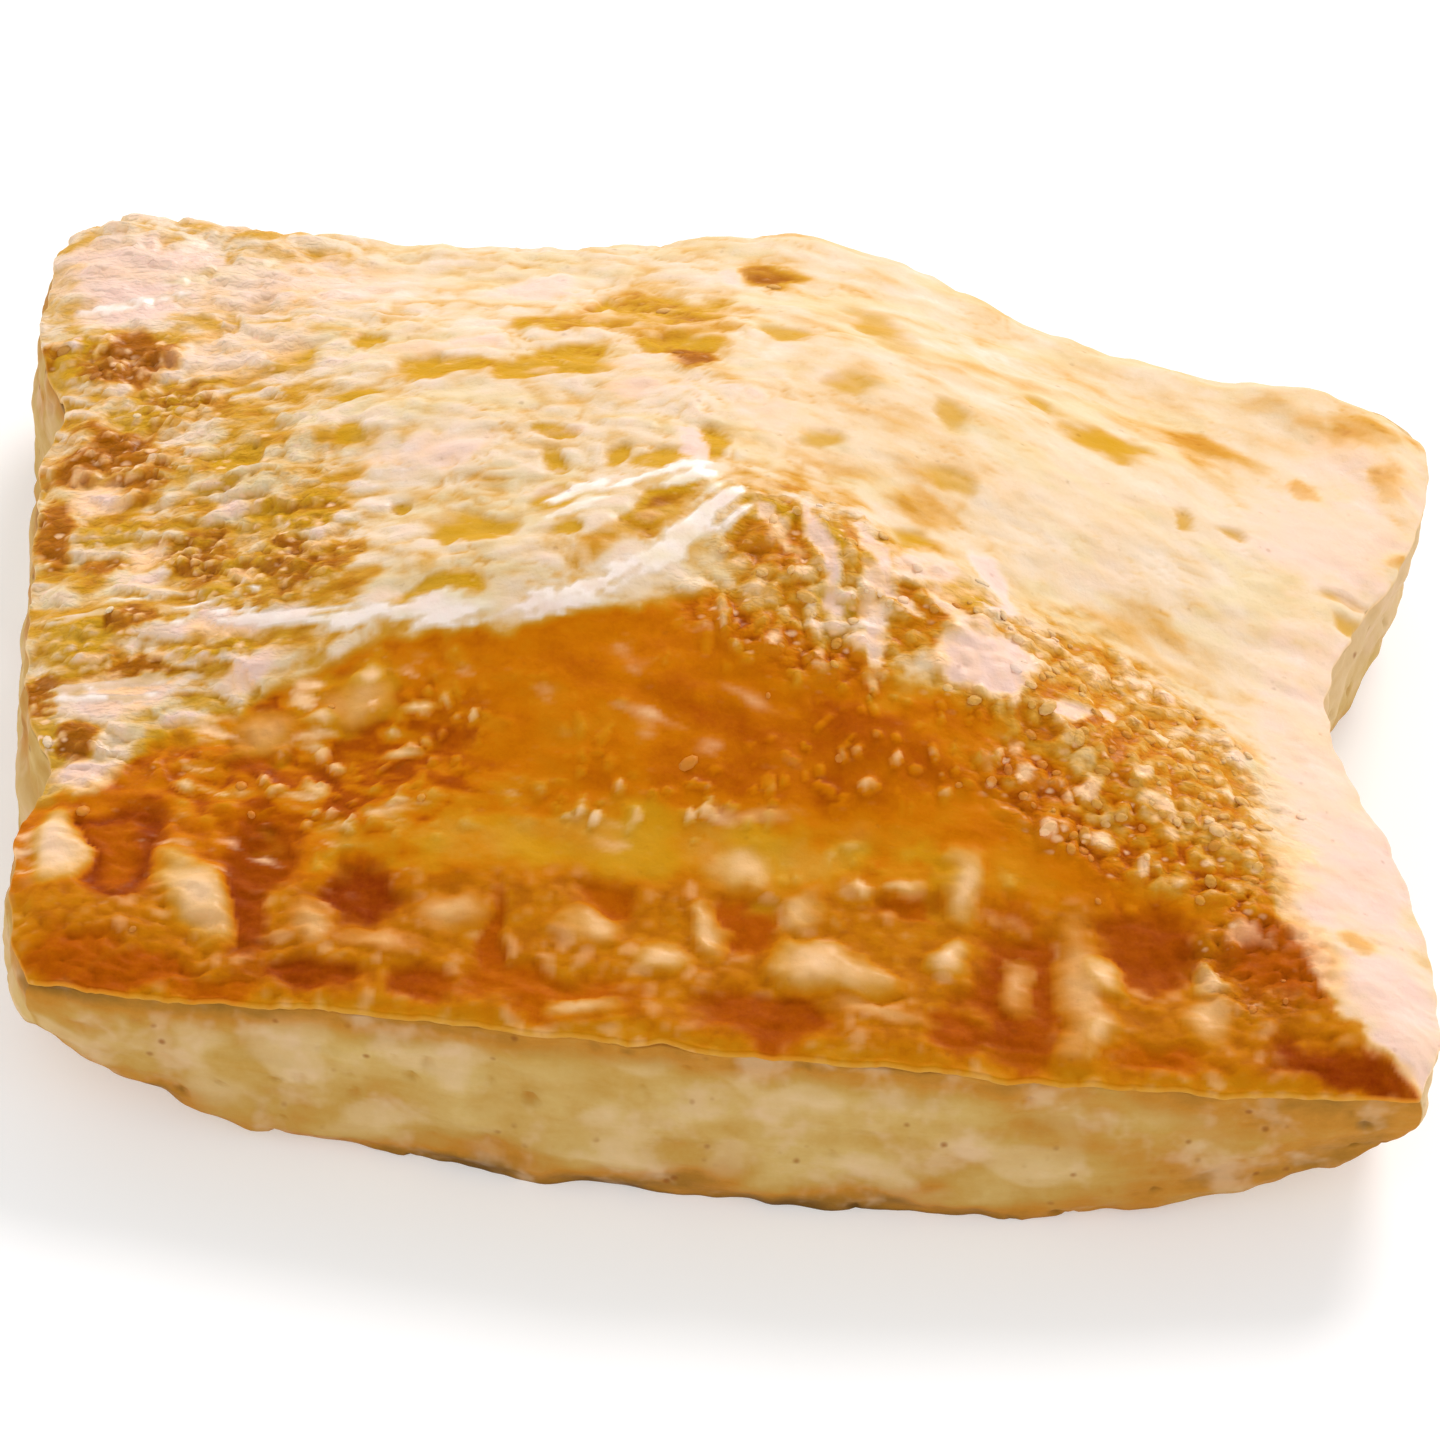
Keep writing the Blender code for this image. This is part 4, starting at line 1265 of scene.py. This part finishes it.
def finish_pastry(tree, colour, roughness, height, strength, gloss):
    """The shader and the small relief that a pastry's pattern ends in."""
    bump = tree.node("ShaderNodeBump", {}, {"Strength": strength, "Distance": BUMP_DEPTH, "Height": height})
    values = {"Base Color": colour, "Roughness": roughness.limited(), "Normal": bump, **CRUMB_GLOW, **gloss}
    shader = tree.node("ShaderNodeBsdfPrincipled", {}, values)
    tree.node("ShaderNodeOutputMaterial", {}, {"Surface": shader})


def lid_pastry():
    """Glazed puff pastry: browned by the fields of its piece, with creases, fine flecks, and painted light: glints,
    highlights on pale places and shade in the creases.
    """
    material = bpy.data.materials.new("lid_pastry")
    tree = empty_tree(material)
    place = tree.node("ShaderNodeTexCoord", {}, {}, "Object")
    wanted = ("bake", "olive", "toast", "pale", "glaze", "crinkle")
    bake, olive, toast, pale, glaze, crinkled = [tree.field(name) for name in wanted]

    mottle = tree.noise(place, MOTTLE["lid"], 4.0)
    grain = tree.noise(place, GRAIN["lid"], 3.0)
    speckle = tree.cells(place, FLECKS)
    drawn = tree.node("ShaderNodeMapping", {}, {"Vector": place, **DRAWN_OUT})
    wide, narrow = [(tree.noise(drawn, fineness, 1.0) - 0.5).size() for fineness in CREASES]
    puff = (wide * 2.2 + narrow * 1.2) * crinkled

    # Painted light and shade: puffs are painted paler and the creases between them darker, here and in the toast
    # below.
    browned = (bake + (mottle - 0.5) * 0.12 + (grain - 0.5) * 0.08 + crinkled * 0.07 - puff * 0.14).limited()
    colour = tree.node("ShaderNodeValToRGB", {"stops": LID_COLOURS}, {"Fac": browned})
    sallow = tree.noise(drawn, SALLOW, 2.0).between(0.50, 0.62) * (1.0 - (bake * 1.8).limited()) * 0.5
    colour = tree.blend(sallow, colour, STRAW)
    # olive holds golden patches and also the painted shade of pits and hollows.
    colour = tree.blend(olive.limited(), colour, OLIVE)
    colour = tree.blend((toast * (0.8 + mottle * 0.4) - puff * 0.1).limited(), colour, TOASTED)
    blush = tree.noise(drawn, BLUSH, 3.0).between(0.50, 0.68) * (1.0 - (bake * 2.6).limited()) * 0.35
    # Painted glints: dots of the pale tip colour where the lid crinkles.
    dots = tree.cells(drawn, GLINTS)
    spread = Value(tree, dots.socket.node.outputs["Color"]) * 0.4  # so that the glints differ in size
    grouped = tree.noise(place, GLINT_GROUPS, 2.0).between(0.42, 0.60)
    glint = (1.0 - (dots + spread).between(0.20, 0.50)) * grouped * crinkled * 0.85
    # Painted highlights: pale places and glints take the tip colour; the blush is a random pink tint.
    tip = tree.blend((bake * 4.0 - 0.35).limited(), PINK, PEACH)
    colour = tree.blend((pale * (0.6 + mottle * 0.8) + glint + blush).limited(), colour, tip)
    fleck = (1.0 - speckle.between(0.05, 0.25)) * mottle.between(0.52, 0.66) * 0.3
    colour = tree.blend(fleck, colour, BURNT_AND_PORE_SHADE)

    height = mottle * 0.4 + grain * 0.15 + puff * 0.8
    roughness = 0.6 - glaze * 0.2 + (grain - 0.5) * 0.2
    coat = (glaze * (0.5 + mottle)).limited()
    gloss = {"Coat Weight": coat, "Coat Roughness": 0.27, "Specular IOR Level": 0.02}
    finish_pastry(tree, colour, roughness, height, 0.6, gloss)
    return material


def case_dough():
    """Dry, risen dough of the side and the underside: fine layers seen edge on, floury patches and small pores,
    darkened as painted shade.
    """
    material = bpy.data.materials.new("case_dough")
    tree = empty_tree(material)
    place = tree.node("ShaderNodeTexCoord", {}, {}, "Object")
    flattened = tree.node("ShaderNodeMapping", {}, {"Vector": place, "Scale": FLATTENED})
    bake = tree.field("bake")
    pale = tree.field("pale")

    mottle = tree.noise(place, MOTTLE["case"], 5.0)
    grain = tree.noise(place, GRAIN["case"], 3.0)
    layers = tree.noise(flattened, LAYERS, 3.0)
    pores = tree.cells(place, PORES)

    browned = (bake + (mottle - 0.5) * 0.40 + (layers - 0.5) * 0.12 + (grain - 0.5) * 0.08).limited()
    colour = tree.node("ShaderNodeValToRGB", {"stops": CASE_COLOURS}, {"Fac": browned})
    floury = tree.noise(place, FLOUR, 3.0).between(0.50, 0.70) * 0.5 + pale * 0.6
    colour = tree.blend(floury.limited(), colour, FLOURY)
    # Painted shade: the pores are darkened.
    pore = (1.0 - pores.between(0.05, 0.24)) * tree.noise(place, PORE_GROUPS, 2.0).between(0.50, 0.62) * 0.75
    colour = tree.blend(pore, colour, BURNT_AND_PORE_SHADE)

    height = mottle * 0.5 + grain * 0.25 + layers * 0.5 - pore * 0.5
    finish_pastry(tree, colour, 0.72 + (grain - 0.5) * 0.2, height, 0.4, {"Specular IOR Level": 0.15})
    return material


# Floor: half its side in metres, and its finish.
FLOOR_HALF = 12.0
FLOOR_FINISH = {
    "Base Color": (0.72, 0.72, 0.72, 1.0),
    "Roughness": 0.9,
    "Specular IOR Level": 0.1,
    "Emission Color": (1.0, 1.0, 1.0, 1.0),
    "Emission Strength": 0.34,
}


def floor_material():
    """Matt pale floor with a glow of its own, so that it meets the white surround without a line."""
    material = bpy.data.materials.new("pale_floor")
    tree = empty_tree(material)
    shader = tree.node("ShaderNodeBsdfPrincipled", {}, FLOOR_FINISH)
    tree.node("ShaderNodeOutputMaterial", {}, {"Surface": shader})
    return material


# Light: the key's azimuth and elevation in degrees and its width in degrees. The ceiling is dim above the heights
# in CEILING_EDGE, given as shares of straight up.
KEY_PLACE = (160.0, 38.0)
KEY_SOFTNESS = 24.0
KEY_STRENGTH = 2.0
KEY_COLOUR = (1.0, 0.94, 0.93)
CEILING_EDGE = (0.70, 0.92)
CEILING_LIGHT = 0.15
SURROUND_LIGHT = 1.12

# Camera: looks at TARGET from the photo's angle.
TARGET = Vector((-0.53, -8.02, 15.0)) * MM
CAMERA_AZIMUTH = -2.4
CAMERA_ELEVATION = 40.0
CAMERA_ROLL = 5.0
CAMERA_DISTANCE = 1.45
CAMERA_LENS = 400.0
CAMERA_SENSOR = 36.0
CAMERA_CLIP = (0.01, 60.0)


def direction(azimuth, elevation):
    """Unit vector from the pie to a place at that azimuth and elevation in degrees, with azimuth 0 in front."""
    azimuth, elevation = np.radians(azimuth), np.radians(elevation)
    flat = np.cos(elevation)
    return Vector((np.sin(azimuth) * flat, -np.cos(azimuth) * flat, np.sin(elevation)))


def make_camera():
    """The camera at the photo's angle, turned a little about its own axis."""
    back = direction(CAMERA_AZIMUTH, CAMERA_ELEVATION)
    right = Vector((0, 0, 1)).cross(back).normalized()
    up = back.cross(right)
    roll = np.radians(CAMERA_ROLL)
    turned_right = right * np.cos(roll) + up * np.sin(roll)
    turned_up = up * np.cos(roll) - right * np.sin(roll)
    data = bpy.data.cameras.new("camera")
    data.lens = CAMERA_LENS
    data.sensor_width = CAMERA_SENSOR
    data.clip_start, data.clip_end = CAMERA_CLIP
    camera = add_object("camera", data)
    axes = Matrix((turned_right, turned_up, back)).transposed().to_4x4()
    camera.matrix_world = Matrix.Translation(TARGET + back * CAMERA_DISTANCE) @ axes
    bpy.context.scene.camera = camera


def make_key():
    """The key light: a distant, soft sun behind the pie."""
    data = bpy.data.lights.new("key", "SUN")
    data.angle = np.radians(KEY_SOFTNESS)
    data.energy = KEY_STRENGTH
    data.color = KEY_COLOUR
    light = add_object("key", data)
    light.rotation_euler = direction(*KEY_PLACE).to_track_quat("Z", "Y").to_euler()


def make_stage():
    """A wide pale floor and a plain white surround."""
    data = bpy.data.meshes.new("floor")
    corners = [(FLOOR_HALF * side, FLOOR_HALF * end, 0.0) for side, end in ((-1, -1), (1, -1), (1, 1), (-1, 1))]
    data.from_pydata(corners, [], [(0, 1, 2, 3)])
    data.materials.append(floor_material())
    add_object("floor", data)
    bpy.context.scene.world = surround()
    bpy.context.scene.view_settings.view_transform = "Standard"
    bpy.context.scene.view_settings.look = "None"


def surround():
    """White all round, with a dim ceiling straight above so that the glaze keeps its colour."""
    world = bpy.data.worlds.new("surround")
    tree = empty_tree(world)
    toward = tree.node("ShaderNodeTexCoord", {}, {}, "Generated")
    height = tree.node("ShaderNodeSeparateXYZ", {}, {"Vector": toward}, "Z")
    strength = (1.0 - height.between(*CEILING_EDGE) * (1.0 - CEILING_LIGHT)) * SURROUND_LIGHT
    shader = tree.node("ShaderNodeBackground", {}, {"Color": (1.0, 1.0, 1.0, 1.0), "Strength": strength})
    tree.node("ShaderNodeOutputWorld", {}, {"Surface": shader})
    return world


PLAN_PLACES = 97  # across and along, where the plan is measured
PLAN_LEVELS = 6


def plan_centre():
    """Middle of the plain pie's plan before it is centred, so that it lies as the CAD solid does."""
    place = np.linspace(-1.0, 1.0, PLAN_PLACES)
    across, along = np.meshgrid(place, place, indexing="ij")
    flats = []
    for down in np.linspace(0.0, 1.0, PLAN_LEVELS):
        flats.append(place_points(across, along, np.full(across.shape, down))[..., :2].reshape(-1, 2))
    flat = np.concatenate(flats)
    return (flat.min(axis=0) + flat.max(axis=0)) / 2.0


# The centre is found from the plan as it lies before it is moved.
PLAN_CENTRE = np.zeros(2)
PLAN_CENTRE = plan_centre()

lid_skin = lid_pastry()
lid = make_lid(lid_skin)
blisters = make_blisters(lid, lid_skin)
case = make_case(case_dough())
for piece in (lid, blisters, case):
    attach(piece, "root")
    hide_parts("pie")
    print(piece.name, sum(len(face.vertices) - 2 for face in piece.data.polygons), "triangles")
make_stage()
make_camera()
make_key()
